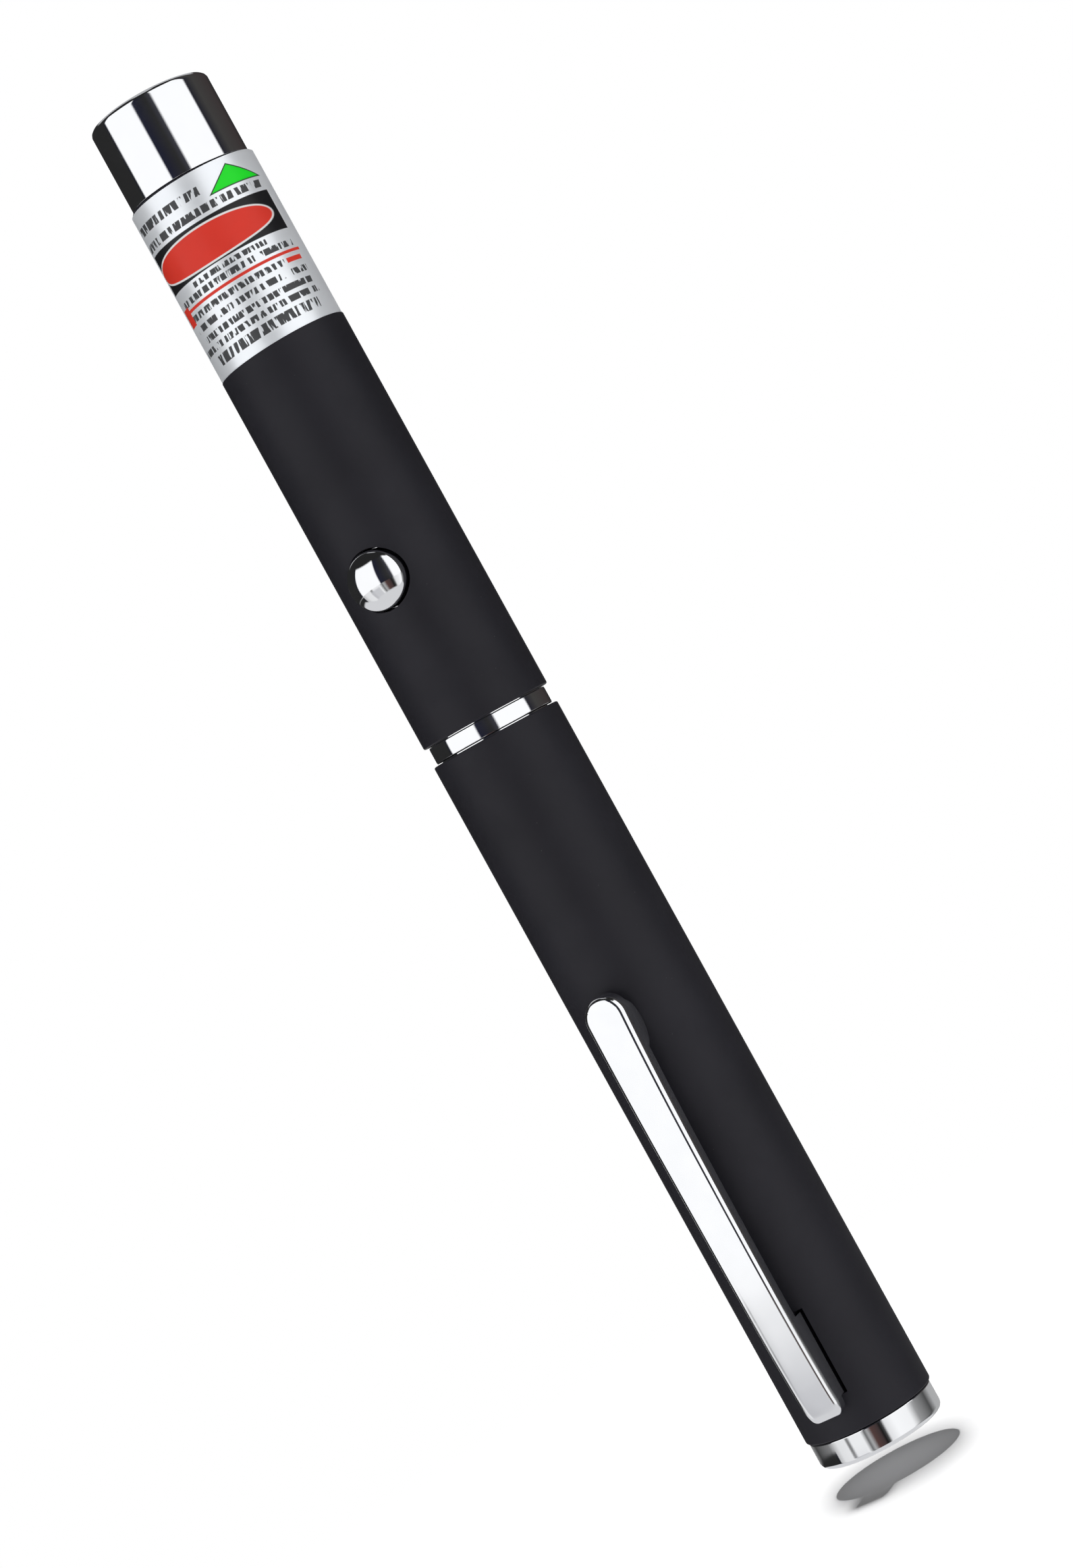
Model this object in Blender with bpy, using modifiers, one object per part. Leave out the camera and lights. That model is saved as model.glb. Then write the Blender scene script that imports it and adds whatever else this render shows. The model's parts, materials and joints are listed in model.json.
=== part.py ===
"""A pen-shaped laser pointer that runs on two AAA cells, standing on its tail.

+Z runs to the nose, the clip and the button face -Y, and the origin is the middle of the tail face. A rise is
a distance from the pen's axis towards -Y. Everything is worked out from the cells: outwards to the barrels,
and upwards from the tail face to the nose.
"""

import math

import bmesh
import bpy
from mathutils import Matrix, Vector

MM = 0.001

# Clearances between pieces
PRESS_GAP = 0.1 * MM
REST_GAP = 0.1 * MM
RUN_GAP = 0.2 * MM
SOLDER_GAP = 0.05 * MM
CUT_OVERRUN = 1.0 * MM
MERGE_DISTANCE = 0.001 * MM
EDGE_CHAMFER = 0.2 * MM
EDGE_ANGLE = math.radians(35)

# Facets of a turned piece
OUTER_SIDES = 48
MIDDLE_SIDES = 32
INNER_SIDES = 24
ARC_STEPS = 3

# AAA cells
CELL_LENGTH = 44.0 * MM
CELL_DIAMETER = 10.5 * MM
CELL_SLACK = 0.3 * MM
CELL_WRAP_WALL = 0.1 * MM
CELL_WRAP_LIP = 0.4 * MM
CELL_ROUNDING = 0.4 * MM
CELL_FLANGE_DIAMETER = 6.8 * MM
CELL_FLANGE_THICKNESS = 0.3 * MM
CELL_NUB_DIAMETER = 3.8 * MM
CELL_NUB_HEIGHT = 0.8 * MM

# Screw joint between the two halves
SPIGOT_WALL = 0.45 * MM
THREAD_DEPTH = 0.35 * MM
THREAD_PITCH = 1.0 * MM
THREAD_PLAY = 0.12 * MM
THREAD_AXIAL_PLAY = 0.08 * MM
THREAD_SINK = 0.15 * MM
THREAD_LENGTH = 4.3 * MM
THREAD_LEAD = 0.3 * MM
THREAD_STEPS = 24
THREAD_ROOT_SHARE = 0.56
THREAD_CREST_SHARE = 0.18
SPIGOT_LENGTH = 5.0 * MM
MOUTH_WALL = 0.53 * MM

# Chrome ring between the halves
RING_STEP = 0.43 * MM
RING_LENGTH = 1.8 * MM
RING_SPIGOT_LENGTH = 5.5 * MM

# Tail cap and its spring
TAIL_STEP = 0.23 * MM
TAIL_LENGTH = 2.9 * MM
TAIL_ROUNDING = 0.6 * MM
TAIL_FLOOR = 1.4 * MM
TAIL_PLUG_LENGTH = 3.3 * MM
TAIL_PLUG_WALL = 0.55 * MM
TAIL_SPRING_HEIGHT = 1.9 * MM
TAIL_SPRING_WIRE = 0.5 * MM
TAIL_SPRING_FOOT_RADIUS = 4.2 * MM
TAIL_SPRING_HEAD_RADIUS = 2.5 * MM
TAIL_SPRING_TURNS = 2
SPRING_POINTS = 12

# Barrels
CELL_REACH = 11.7 * MM

# Pocket clip
CLIP_LENGTH = 47.0 * MM
CLIP_STAND = 3.45 * MM
CLIP_BOW = 0.75 * MM
CLIP_BOW_POWER = 3
CLIP_DIP = 0.35 * MM
CLIP_DIP_LENGTH = 2.45 * MM
CLIP_FOOT_WIDTH = 3.8 * MM
CLIP_TIP_WIDTH = 4.7 * MM
CLIP_TAPER_POWER = 2.4
CLIP_CHAMFER_LENGTH = 1.05 * MM
CLIP_CHAMFER_WIDTH = 0.6 * MM
CLIP_DEPTH = 1.75 * MM
CLIP_SHEET = 0.5 * MM
CLIP_CORNER = 0.6 * MM
CLIP_TIP_SHARE = 0.3
CLIP_RUN_SECTIONS = 9
CLIP_LOBE_SECTIONS = 10
CLIP_TIP_SECTIONS = 6
CLIP_LEAST_SPACING = 0.12 * MM
LOBE_RADIUS = 3.1 * MM
LOBE_SETBACK = 3.9 * MM
TAB_LENGTH = 8.9 * MM
TAB_DEPTH = 1.2 * MM
TAB_STANDOFF = 0.9 * MM
TAB_SETBACK = 1.55 * MM

# Push button
BUTTON_DIAMETER = 6.1 * MM
BUTTON_CROWN_RISE = 1.65 * MM
BUTTON_DOME_SPREAD = 1.45 * MM
BUTTON_FLANGE_DIAMETER = 7.2 * MM
BUTTON_FLANGE_THICKNESS = 0.5 * MM
BUTTON_SHELL_WALL = 0.6 * MM
BUTTON_POST_DIAMETER = 1.8 * MM
BUTTON_TRAVEL = 0.5 * MM

# Switch under the button
SWITCH_SIDE = 4.5 * MM
SWITCH_HEIGHT = 1.4 * MM
SWITCH_FLOOR = 0.3 * MM
SWITCH_COVER_THICKNESS = 0.2 * MM
SWITCH_HOLE_DIAMETER = 2.7 * MM
PLUNGER_DIAMETER = 2.4 * MM
PLUNGER_PROUD = 0.7 * MM

# Driver board, its cradle and the spring that meets the front cell
CONTACT_SPRING_HEIGHT = 1.5 * MM
CONTACT_SPRING_WIRE = 0.4 * MM
CONTACT_SPRING_FOOT_RADIUS = 1.2 * MM
CONTACT_SPRING_TURNS = 2
CONTACT_TAIL_LENGTH = 1.4 * MM
CONTACT_HOLE_SLACK = 0.3 * MM
CRADLE_DISC_THICKNESS = 1.2 * MM
CRADLE_WALL = 1.4 * MM
CRADLE_POCKET_WIDTH = 7.0 * MM
CRADLE_POCKET_DEPTH = 2.8 * MM
BUTTON_ABOVE_DISC = 4.1 * MM
BOARD_THICKNESS = 1.0 * MM
BOARD_EDGE_GAP = 0.4 * MM
BOARD_SPACING = 0.8 * MM
BOARD_MARGIN = 1.15 * MM
TRIMMER_SIDE = 3.0 * MM
TRIMMER_HEIGHT = 1.0 * MM
TRIMMER_FLOOR = 0.3 * MM
TRIMMER_ROTOR_DIAMETER = 2.2 * MM
TRIMMER_ROTOR_PROUD = 0.15 * MM
TRIMMER_SLOT_WIDTH = 0.4 * MM
TRIMMER_SLOT_DEPTH = 0.35 * MM
CHIP_WIDTH = 3.9 * MM
CHIP_LENGTH = 4.9 * MM
CHIP_HEIGHT = 1.4 * MM
CHIP_LEG_PITCH = 1.27 * MM
CHIP_LEG_WIDTH = 0.4 * MM
CHIP_LEG_REACH = 1.0 * MM
CHIP_LEG_HEIGHT = 0.6 * MM
CHIP_LEGS_A_SIDE = 4
SMALL_CHIP_OFFSET = 2.2 * MM
TRANSISTOR_SIZE = (2.9 * MM, 1.1 * MM, 1.6 * MM)
CAPACITOR_SIZE = (3.2 * MM, 1.2 * MM, 1.6 * MM)

# Laser module
MODULE_GAP = 0.4 * MM
DIODE_BORE_DEPTH = 8.4 * MM
DIODE_MOUNT_DIAMETER = 8.8 * MM
DIODE_MOUNT_LENGTH = 5.6 * MM
DIODE_FLANGE_DIAMETER = 5.6 * MM
DIODE_FLANGE_THICKNESS = 1.2 * MM
DIODE_CAN_DIAMETER = 3.5 * MM
DIODE_CAN_HEIGHT = 2.2 * MM
DIODE_CAN_SETBACK = 0.2 * MM
DIODE_WINDOW_DIAMETER = 1.6 * MM
DIODE_WINDOW_DEPTH = 0.3 * MM
DIODE_PIN_DIAMETER = 0.45 * MM
DIODE_PIN_CIRCLE = 2.54 * MM
DIODE_PIN_GAP = 0.3 * MM
DIODE_PINS = 3
DIODE_RETAINER_LENGTH = 1.5 * MM
DIODE_RETAINER_BORE = 3.8 * MM
CRYSTAL_BORE_DEPTH = 6.2 * MM
CRYSTAL_MOUNT_DIAMETER = 6.2 * MM
CRYSTAL_MOUNT_LENGTH = 5.4 * MM
CRYSTAL_SIDE = 1.2 * MM
CRYSTAL_LENGTH = 3.2 * MM
CRYSTAL_INSET = 0.6 * MM
EXPANDER_DIAMETER = 3.0 * MM
EXPANDER_THICKNESS = 1.0 * MM
EXPANDER_HOLLOW_DEPTH = 0.4 * MM
EXPANDER_RIM = 0.3 * MM
LENS_SPRING_HEIGHT = 3.0 * MM
LENS_SPRING_WIRE = 0.4 * MM
LENS_SPRING_TURNS = 3
LENS_BORE_DEPTH = 8.0 * MM
LENS_BARREL_DIAMETER = 8.8 * MM
LENS_BARREL_LENGTH = 15.5 * MM
LENS_BARREL_WALL = 0.8 * MM
LENS_SEAT_WIDTH = 0.6 * MM
LENS_RIM_THICKNESS = 1.0 * MM
LENS_DOME_DIAMETER = 5.4 * MM
LENS_DOME_HEIGHT = 1.0 * MM
LENS_RETAINER_LENGTH = 1.8 * MM
LENS_RETAINER_WALL = 0.6 * MM

# Nose
NOSE_STEP = 0.42 * MM
NOSE_SPIGOT_LENGTH = 5.6 * MM
NOSE_ROUNDING = 0.7 * MM
LENS_HEAD_ROOM = 0.6 * MM
FILTER_DIAMETER = 5.0 * MM
FILTER_THICKNESS = 0.8 * MM
APERTURE_DIAMETER = 3.2 * MM
APERTURE_LAND = 1.3 * MM
APERTURE_CONE_DEPTH = 1.35 * MM
APERTURE_CONE_DIAMETER = 5.2 * MM

# Silver label round the front barrel
LABEL_LENGTH = 18.6 * MM
LABEL_THICKNESS = 0.12 * MM
LABEL_INSET = 0.03 * MM

# Radii, worked out from the cells outwards
CELL_RADIUS = CELL_DIAMETER / 2
BORE_RADIUS = CELL_RADIUS + CELL_SLACK
SPIGOT_RADIUS = BORE_RADIUS + SPIGOT_WALL
THREAD_RADIUS = SPIGOT_RADIUS + THREAD_DEPTH
GROOVE_RADIUS = THREAD_RADIUS + THREAD_PLAY
LAND_RADIUS = SPIGOT_RADIUS + THREAD_PLAY
BARREL_RADIUS = GROOVE_RADIUS + MOUTH_WALL
FRONT_BORE_RADIUS = SPIGOT_RADIUS + PRESS_GAP
PLUG_RADIUS = BORE_RADIUS + TAIL_PLUG_WALL
LENS_BARREL_RADIUS = LENS_BARREL_DIAMETER / 2
LENS_BORE_RADIUS = LENS_BARREL_RADIUS + PRESS_GAP

# Heights, worked out from the tail face upwards
REAR_CELL_FOOT = TAIL_FLOOR + REST_GAP + TAIL_SPRING_HEIGHT + REST_GAP
FRONT_CELL_FOOT = REAR_CELL_FOOT + CELL_LENGTH + REST_GAP
FRONT_CELL_HEAD = FRONT_CELL_FOOT + CELL_LENGTH
REAR_BARREL_FOOT = TAIL_LENGTH + REST_GAP
REAR_BARREL_HEAD = FRONT_CELL_HEAD - CELL_REACH
RING_FOOT = REAR_BARREL_HEAD - SPIGOT_LENGTH
RING_FLANGE_FOOT = REAR_BARREL_HEAD + REST_GAP
FRONT_BARREL_FOOT = RING_FLANGE_FOOT + RING_LENGTH + REST_GAP
CONTACT_SPRING_FOOT = FRONT_CELL_HEAD + REST_GAP
CRADLE_FOOT = CONTACT_SPRING_FOOT + CONTACT_SPRING_HEIGHT + REST_GAP
BOARD_FOOT = CRADLE_FOOT + CRADLE_DISC_THICKNESS + REST_GAP
BUTTON_HEIGHT = CRADLE_FOOT + CRADLE_DISC_THICKNESS + BUTTON_ABOVE_DISC
TRIMMER_FOOT = BUTTON_HEIGHT + SWITCH_SIDE / 2 + BOARD_SPACING
TRIMMER_CENTRE = TRIMMER_FOOT + TRIMMER_SIDE / 2
CHIP_FOOT = TRIMMER_FOOT + TRIMMER_SIDE + BOARD_SPACING
SMALL_CHIP_FOOT = CHIP_FOOT + CHIP_LENGTH + BOARD_SPACING
BOARD_HEAD = SMALL_CHIP_FOOT + max(TRANSISTOR_SIZE[2], CAPACITOR_SIZE[2]) + BOARD_MARGIN
MODULE_FOOT = BOARD_HEAD + MODULE_GAP
CRYSTAL_STEP = MODULE_FOOT + DIODE_BORE_DEPTH
LENS_STEP = CRYSTAL_STEP + CRYSTAL_BORE_DEPTH
MODULE_HEAD = LENS_STEP + LENS_BORE_DEPTH
LENS_SPRING_FOOT = LENS_STEP + REST_GAP
LENS_BARREL_FOOT = LENS_SPRING_FOOT + LENS_SPRING_HEIGHT + REST_GAP
LENS_BARREL_HEAD = LENS_BARREL_FOOT + LENS_BARREL_LENGTH
NOSE_FOOT = MODULE_HEAD + REST_GAP
NOSE_SHOULDER = NOSE_FOOT + NOSE_SPIGOT_LENGTH
FRONT_BARREL_HEAD = NOSE_SHOULDER - REST_GAP
FILTER_FOOT = LENS_BARREL_HEAD + LENS_HEAD_ROOM + SOLDER_GAP
NOSE_APERTURE = FILTER_FOOT + FILTER_THICKNESS + SOLDER_GAP
NOSE_CONE = NOSE_APERTURE + APERTURE_LAND
NOSE_HEAD = NOSE_CONE + APERTURE_CONE_DEPTH
LABEL_HEAD = FRONT_BARREL_HEAD - REST_GAP
LABEL_FOOT = LABEL_HEAD - LABEL_LENGTH

# Rises of what lies under the button, worked out from the bore inwards
FLANGE_OUTER_RISE = math.sqrt(FRONT_BORE_RADIUS**2 - (BUTTON_FLANGE_DIAMETER / 2) ** 2) - REST_GAP
FLANGE_INNER_RISE = FLANGE_OUTER_RISE - BUTTON_FLANGE_THICKNESS
SWITCH_COVER_RISE = FLANGE_INNER_RISE - BUTTON_TRAVEL - RUN_GAP - REST_GAP
SWITCH_TOP_RISE = SWITCH_COVER_RISE - SWITCH_COVER_THICKNESS - SOLDER_GAP
SWITCH_FOOT_RISE = SWITCH_TOP_RISE - SWITCH_HEIGHT
BOARD_FRONT_RISE = SWITCH_FOOT_RISE - SOLDER_GAP
BOARD_BACK_RISE = BOARD_FRONT_RISE - BOARD_THICKNESS
CRADLE_FLAT_RISE = BOARD_BACK_RISE - REST_GAP
PLUNGER_RISE = SWITCH_COVER_RISE + PLUNGER_PROUD
PART_FOOT_RISE = BOARD_FRONT_RISE + SOLDER_GAP
CONTACT_TAIL_RISE = BOARD_FRONT_RISE + SOLDER_GAP + CONTACT_SPRING_WIRE / 2

# Heights of the pocket clip, worked out from the tail plug that its tabs stand clear of
TAB_FOOT = TAIL_LENGTH + TAIL_PLUG_LENGTH + TAB_STANDOFF
CLIP_FOOT = TAB_FOOT - TAB_SETBACK
CLIP_TIP = CLIP_FOOT + CLIP_LENGTH
LOBE_CENTRE = CLIP_TIP - LOBE_SETBACK
TAB_CENTRE = TAB_FOOT + TAB_LENGTH / 2

# Colour, roughness and metallic value of each finish
FINISHES = {
    "chrome": ((0.82, 0.83, 0.85), 0.08, 1.0),
    "black coat": ((0.020, 0.019, 0.022), 0.42, 0.0),
    "label foil": ((0.70, 0.72, 0.76), 0.25, 1.0),
    "spring steel": ((0.60, 0.60, 0.58), 0.30, 1.0),
    "cell steel": ((0.66, 0.66, 0.64), 0.28, 1.0),
    "cell wrap": ((0.05, 0.10, 0.22), 0.35, 0.0),
    "brass": ((0.72, 0.53, 0.24), 0.30, 1.0),
    "aluminium": ((0.75, 0.76, 0.77), 0.35, 1.0),
    "gold plate": ((0.83, 0.62, 0.25), 0.22, 1.0),
    "lens glass": ((0.90, 0.94, 0.95), 0.03, 0.0),
    "filter glass": ((0.35, 0.62, 0.60), 0.04, 0.0),
    "crystal": ((0.78, 0.62, 0.80), 0.05, 0.0),
    "board laminate": ((0.03, 0.22, 0.10), 0.45, 0.0),
    "black plastic": ((0.025, 0.025, 0.028), 0.50, 0.0),
    "white plastic": ((0.78, 0.78, 0.75), 0.45, 0.0),
    "ceramic": ((0.52, 0.40, 0.26), 0.40, 0.0),
}

MODEL_NAME = "laser_pointer"


def clear_scene():
    """Remove what the scene holds at the start."""
    for thing in list(bpy.data.objects):
        bpy.data.objects.remove(thing)


def new_collection(name):
    collection = bpy.data.collections.new(name)
    bpy.context.scene.collection.children.link(collection)
    return collection


def add_object(name, mesh, place=(0, 0, 0)):
    """Put a mesh or a curve in the model's collection, with its origin at a place."""
    piece = bpy.data.objects.new(name, mesh)
    piece.location = place
    bpy.data.collections[MODEL_NAME].objects.link(piece)
    return piece


def mesh_from(name, bm):
    """Turn a bmesh with its faces pointing out into a mesh."""
    bmesh.ops.recalc_face_normals(bm, faces=bm.faces)
    mesh = bpy.data.meshes.new(name)
    bm.to_mesh(mesh)
    bm.free()
    return mesh


def dress(piece, finish):
    """Give a piece its own material with the look of a finish."""
    colour, roughness, metallic = FINISHES[finish]
    material = bpy.data.materials.new(f"{piece.name} {finish}")
    material.use_nodes = True
    material.diffuse_color = (*colour, 1)
    shader = material.node_tree.nodes["Principled BSDF"]
    shader.inputs["Base Color"].default_value = (*colour, 1)
    shader.inputs["Roughness"].default_value = roughness
    shader.inputs["Metallic"].default_value = metallic
    piece.data.materials.clear()
    piece.data.materials.append(material)
    return piece


def at(rise, height, across=0):
    """The point at a rise from the axis, a height above the tail face and a distance across."""
    return Vector((across, -rise, height))


def arc(centre_radius, centre_height, reach, rise, start, end, steps=ARC_STEPS):
    """Points of an elliptic arc in an outline, from a start angle to an end angle in degrees."""
    points = []
    for step in range(steps + 1):
        angle = math.radians(start + (end - start) * step / steps)
        radius = centre_radius + reach * math.cos(angle)
        points.append((max(radius, 0), centre_height + rise * math.sin(angle)))
    return points


def turned(name, outline, place=(0, 0, 0), sides=INNER_SIDES):
    """Turn an outline of (radius, height) points about Z.

    The outline runs up its inner side and down its outer side. One that starts on the axis is left open
    there, and any other is closed.
    """
    edges = [(i, i + 1) for i in range(len(outline) - 1)]
    if outline[0][0] > 0:
        edges.append((len(outline) - 1, 0))
    mesh = bpy.data.meshes.new(name)
    mesh.from_pydata([(radius, 0, height) for radius, height in outline], edges, [])
    piece = add_object(name, mesh, place)
    screw = piece.modifiers.new("Turn", "SCREW")
    screw.steps = sides
    screw.render_steps = sides
    screw.use_merge_vertices = True
    screw.merge_threshold = MERGE_DISTANCE
    return piece


def disc(name, radius, low, high, place=(0, 0, 0), sides=INNER_SIDES):
    """A plain round bar between two heights."""
    return turned(name, [(0, high), (radius, high), (radius, low), (0, low)], place, sides)


def tube(name, inner, outer, low, high, place=(0, 0, 0), sides=INNER_SIDES):
    """A plain round tube between two heights."""
    outline = [(inner, low), (inner, high), (outer, high), (outer, low)]
    return turned(name, outline, place, sides)


def box(name, low, high):
    """A box between two corners, with its origin at its middle."""
    size = [abs(b - a) for a, b in zip(low, high)]
    bm = bmesh.new()
    bmesh.ops.create_cube(bm, size=1, matrix=Matrix.Diagonal((*size, 1)))
    return add_object(name, mesh_from(name, bm), (Vector(low) + Vector(high)) / 2)


def loft(name, sections):
    """Skin closed rings of points, each with as many points as the next, and cap both ends."""
    bm = bmesh.new()
    rings = [[bm.verts.new(point) for point in section] for section in sections]
    for lower, upper in zip(rings, rings[1:]):
        for i, corner in enumerate(lower):
            after = (i + 1) % len(lower)
            bm.faces.new((corner, lower[after], upper[after], upper[i]))
    bm.faces.new(rings[0])
    bm.faces.new(rings[-1])
    return add_object(name, mesh_from(name, bm))


def coil(name, wire, turns, foot, head, foot_radius, head_radius, tail=()):
    """A wire that winds up from one radius to another, with a straight tail of further points."""
    points = []
    steps = turns * SPRING_POINTS
    low = foot + wire / 2
    high = head - wire / 2
    for step in range(steps + 1):
        share = step / steps
        angle = math.tau * turns * share - math.pi / 2
        radius = foot_radius + (head_radius - foot_radius) * share
        points.append((radius * math.cos(angle), radius * math.sin(angle), low + (high - low) * share))
    points.extend(tuple(point) for point in tail)
    curve = bpy.data.curves.new(name, "CURVE")
    curve.dimensions = "3D"
    curve.bevel_depth = wire / 2
    curve.bevel_resolution = 1
    curve.use_fill_caps = True
    spline = curve.splines.new("POLY")
    spline.points.add(len(points) - 1)
    for point, place in zip(spline.points, points):
        point.co = (*place, 1)
    return add_object(name, curve)


def helix_ridge(name, low, high, root_radius, crest_radius, root_width, crest_width):
    """A right-handed thread ridge that climbs about Z between two heights."""
    steps = round((high - low) / THREAD_PITCH * THREAD_STEPS)
    climb = THREAD_PITCH / THREAD_STEPS
    start = math.tau * ((low - RING_FOOT) / THREAD_PITCH)
    corners = [
        (root_radius, 0, low - root_width / 2),
        (crest_radius, 0, low - crest_width / 2),
        (crest_radius, 0, low + crest_width / 2),
        (root_radius, 0, low + root_width / 2),
    ]
    bm = bmesh.new()
    face = bm.faces.new([bm.verts.new(corner) for corner in corners])
    bmesh.ops.rotate(bm, verts=face.verts, matrix=Matrix.Rotation(start, 3, "Z"))
    bmesh.ops.spin(
        bm,
        geom=[face],
        axis=(0, 0, 1),
        cent=(0, 0, 0),
        dvec=(0, 0, climb),
        angle=math.tau * steps / THREAD_STEPS,
        steps=steps,
        use_duplicate=False,
    )
    return add_object(name, mesh_from(name, bm))


def combine(piece, other, operation):
    """Cut another shape out of a piece, or join it on. The other shape is kept as a hidden helper."""
    modifier = piece.modifiers.new(f"{operation.title()} {other.name}", "BOOLEAN")
    modifier.operation = operation
    modifier.solver = "EXACT"
    modifier.object = other
    other.hide_render = True
    other.display_type = "WIRE"
    bpy.data.collections[MODEL_NAME].objects.unlink(other)
    bpy.data.collections["cutters"].objects.link(other)
    return piece


def cut(piece, *others):
    for other in others:
        combine(piece, other, "DIFFERENCE")
    return piece


def join(piece, *others):
    for other in others:
        combine(piece, other, "UNION")
    return piece


def facing_out(piece):
    """Turn a piece that was made about Z so that it points the way the button does."""
    piece.rotation_euler = (math.pi / 2, 0, 0)
    return piece


def settle(pieces):
    """Make the modifiers' result each piece's own mesh, shaded smooth except at its edges. Wires stay curves."""
    bpy.context.view_layer.update()
    graph = bpy.context.evaluated_depsgraph_get()
    solid = [piece for piece in pieces if piece.type == "MESH"]
    meshes = [bpy.data.meshes.new_from_object(piece.evaluated_get(graph)) for piece in solid]
    for piece, mesh in zip(solid, meshes):
        materials = list(piece.data.materials)
        piece.modifiers.clear()
        piece.data = mesh
        mesh.materials.clear()
        for material in materials:
            mesh.materials.append(material)
        mesh.polygons.foreach_set("material_index", [0] * len(mesh.polygons))
        mesh.shade_smooth()
        mesh.set_sharp_from_angle(angle=EDGE_ANGLE)


def carrier(name, place, parent=None):
    """An empty on a joint's axis, which takes the pieces of one body along."""
    empty = bpy.data.objects.new(name, None)
    empty.empty_display_size = BARREL_RADIUS
    bpy.data.collections[MODEL_NAME].objects.link(empty)
    empty.location = place
    if parent:
        hang(parent, empty)
    return empty


def hang(parent, *pieces):
    """Let a carrier take pieces along from where they stand."""
    bpy.context.view_layer.update()
    for piece in pieces:
        piece.parent = parent
        piece.matrix_parent_inverse = parent.matrix_world.inverted()


def make_cell(place_name, foot):
    """One AAA cell: its can, the positive cap on top and the printed wrap round it."""
    place = (0, 0, foot)
    can_radius = CELL_RADIUS - CELL_WRAP_WALL - PRESS_GAP
    can_head = CELL_LENGTH - CELL_NUB_HEIGHT - CELL_FLANGE_THICKNESS - REST_GAP
    shoulder = can_radius - CELL_ROUNDING
    can = turned(
        f"{place_name}_can",
        [(0, can_head)]
        + arc(shoulder, can_head - CELL_ROUNDING, CELL_ROUNDING, CELL_ROUNDING, 90, 0, 2)
        + arc(shoulder, CELL_ROUNDING, CELL_ROUNDING, CELL_ROUNDING, 0, -90, 2)
        + [(0, 0)],
        place,
        INNER_SIDES,
    )
    flange_foot = can_head + REST_GAP
    flange_head = flange_foot + CELL_FLANGE_THICKNESS
    nub_radius = CELL_NUB_DIAMETER / 2
    flange_radius = CELL_FLANGE_DIAMETER / 2
    cap = turned(
        f"{place_name}_cap",
        [
            (0, CELL_LENGTH),
            (nub_radius - EDGE_CHAMFER, CELL_LENGTH),
            (nub_radius, CELL_LENGTH - EDGE_CHAMFER),
            (nub_radius, flange_head),
            (flange_radius, flange_head),
            (flange_radius, flange_foot),
            (0, flange_foot),
        ],
        place,
        INNER_SIDES,
    )
    wrap = tube(
        f"{place_name}_wrap",
        CELL_RADIUS - CELL_WRAP_WALL,
        CELL_RADIUS,
        CELL_WRAP_LIP,
        can_head - CELL_WRAP_LIP,
        place,
        INNER_SIDES,
    )
    dress(can, "cell steel")
    dress(cap, "cell steel")
    dress(wrap, "cell wrap")
    return [can, cap, wrap]


def make_tail_cap():
    """The chrome plug that closes the tail: a floor, a shoulder and a hollow plug."""
    radius = BARREL_RADIUS - TAIL_STEP
    plug_head = TAIL_LENGTH + TAIL_PLUG_LENGTH
    outline = [(0, TAIL_FLOOR), (BORE_RADIUS, TAIL_FLOOR), (BORE_RADIUS, plug_head)]
    outline += [(PLUG_RADIUS, plug_head), (PLUG_RADIUS, TAIL_LENGTH)]
    outline += [(radius - EDGE_CHAMFER, TAIL_LENGTH), (radius, TAIL_LENGTH - EDGE_CHAMFER)]
    outline += arc(radius - TAIL_ROUNDING, TAIL_ROUNDING, TAIL_ROUNDING, TAIL_ROUNDING, 0, -90)
    outline += [(0, 0)]
    return dress(turned("tail_cap", outline, sides=OUTER_SIDES), "chrome")


def make_tail_spring():
    spring = coil(
        "tail_spring",
        TAIL_SPRING_WIRE,
        TAIL_SPRING_TURNS,
        TAIL_FLOOR + REST_GAP,
        TAIL_FLOOR + REST_GAP + TAIL_SPRING_HEIGHT,
        TAIL_SPRING_FOOT_RADIUS,
        TAIL_SPRING_HEAD_RADIUS,
    )
    return dress(spring, "spring steel")


def tab_walls():
    """The inner and outer distance across of the clip's walls where its tabs hang."""
    outer = clip_half_width(TAB_CENTRE)
    return outer - CLIP_SHEET, outer


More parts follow.
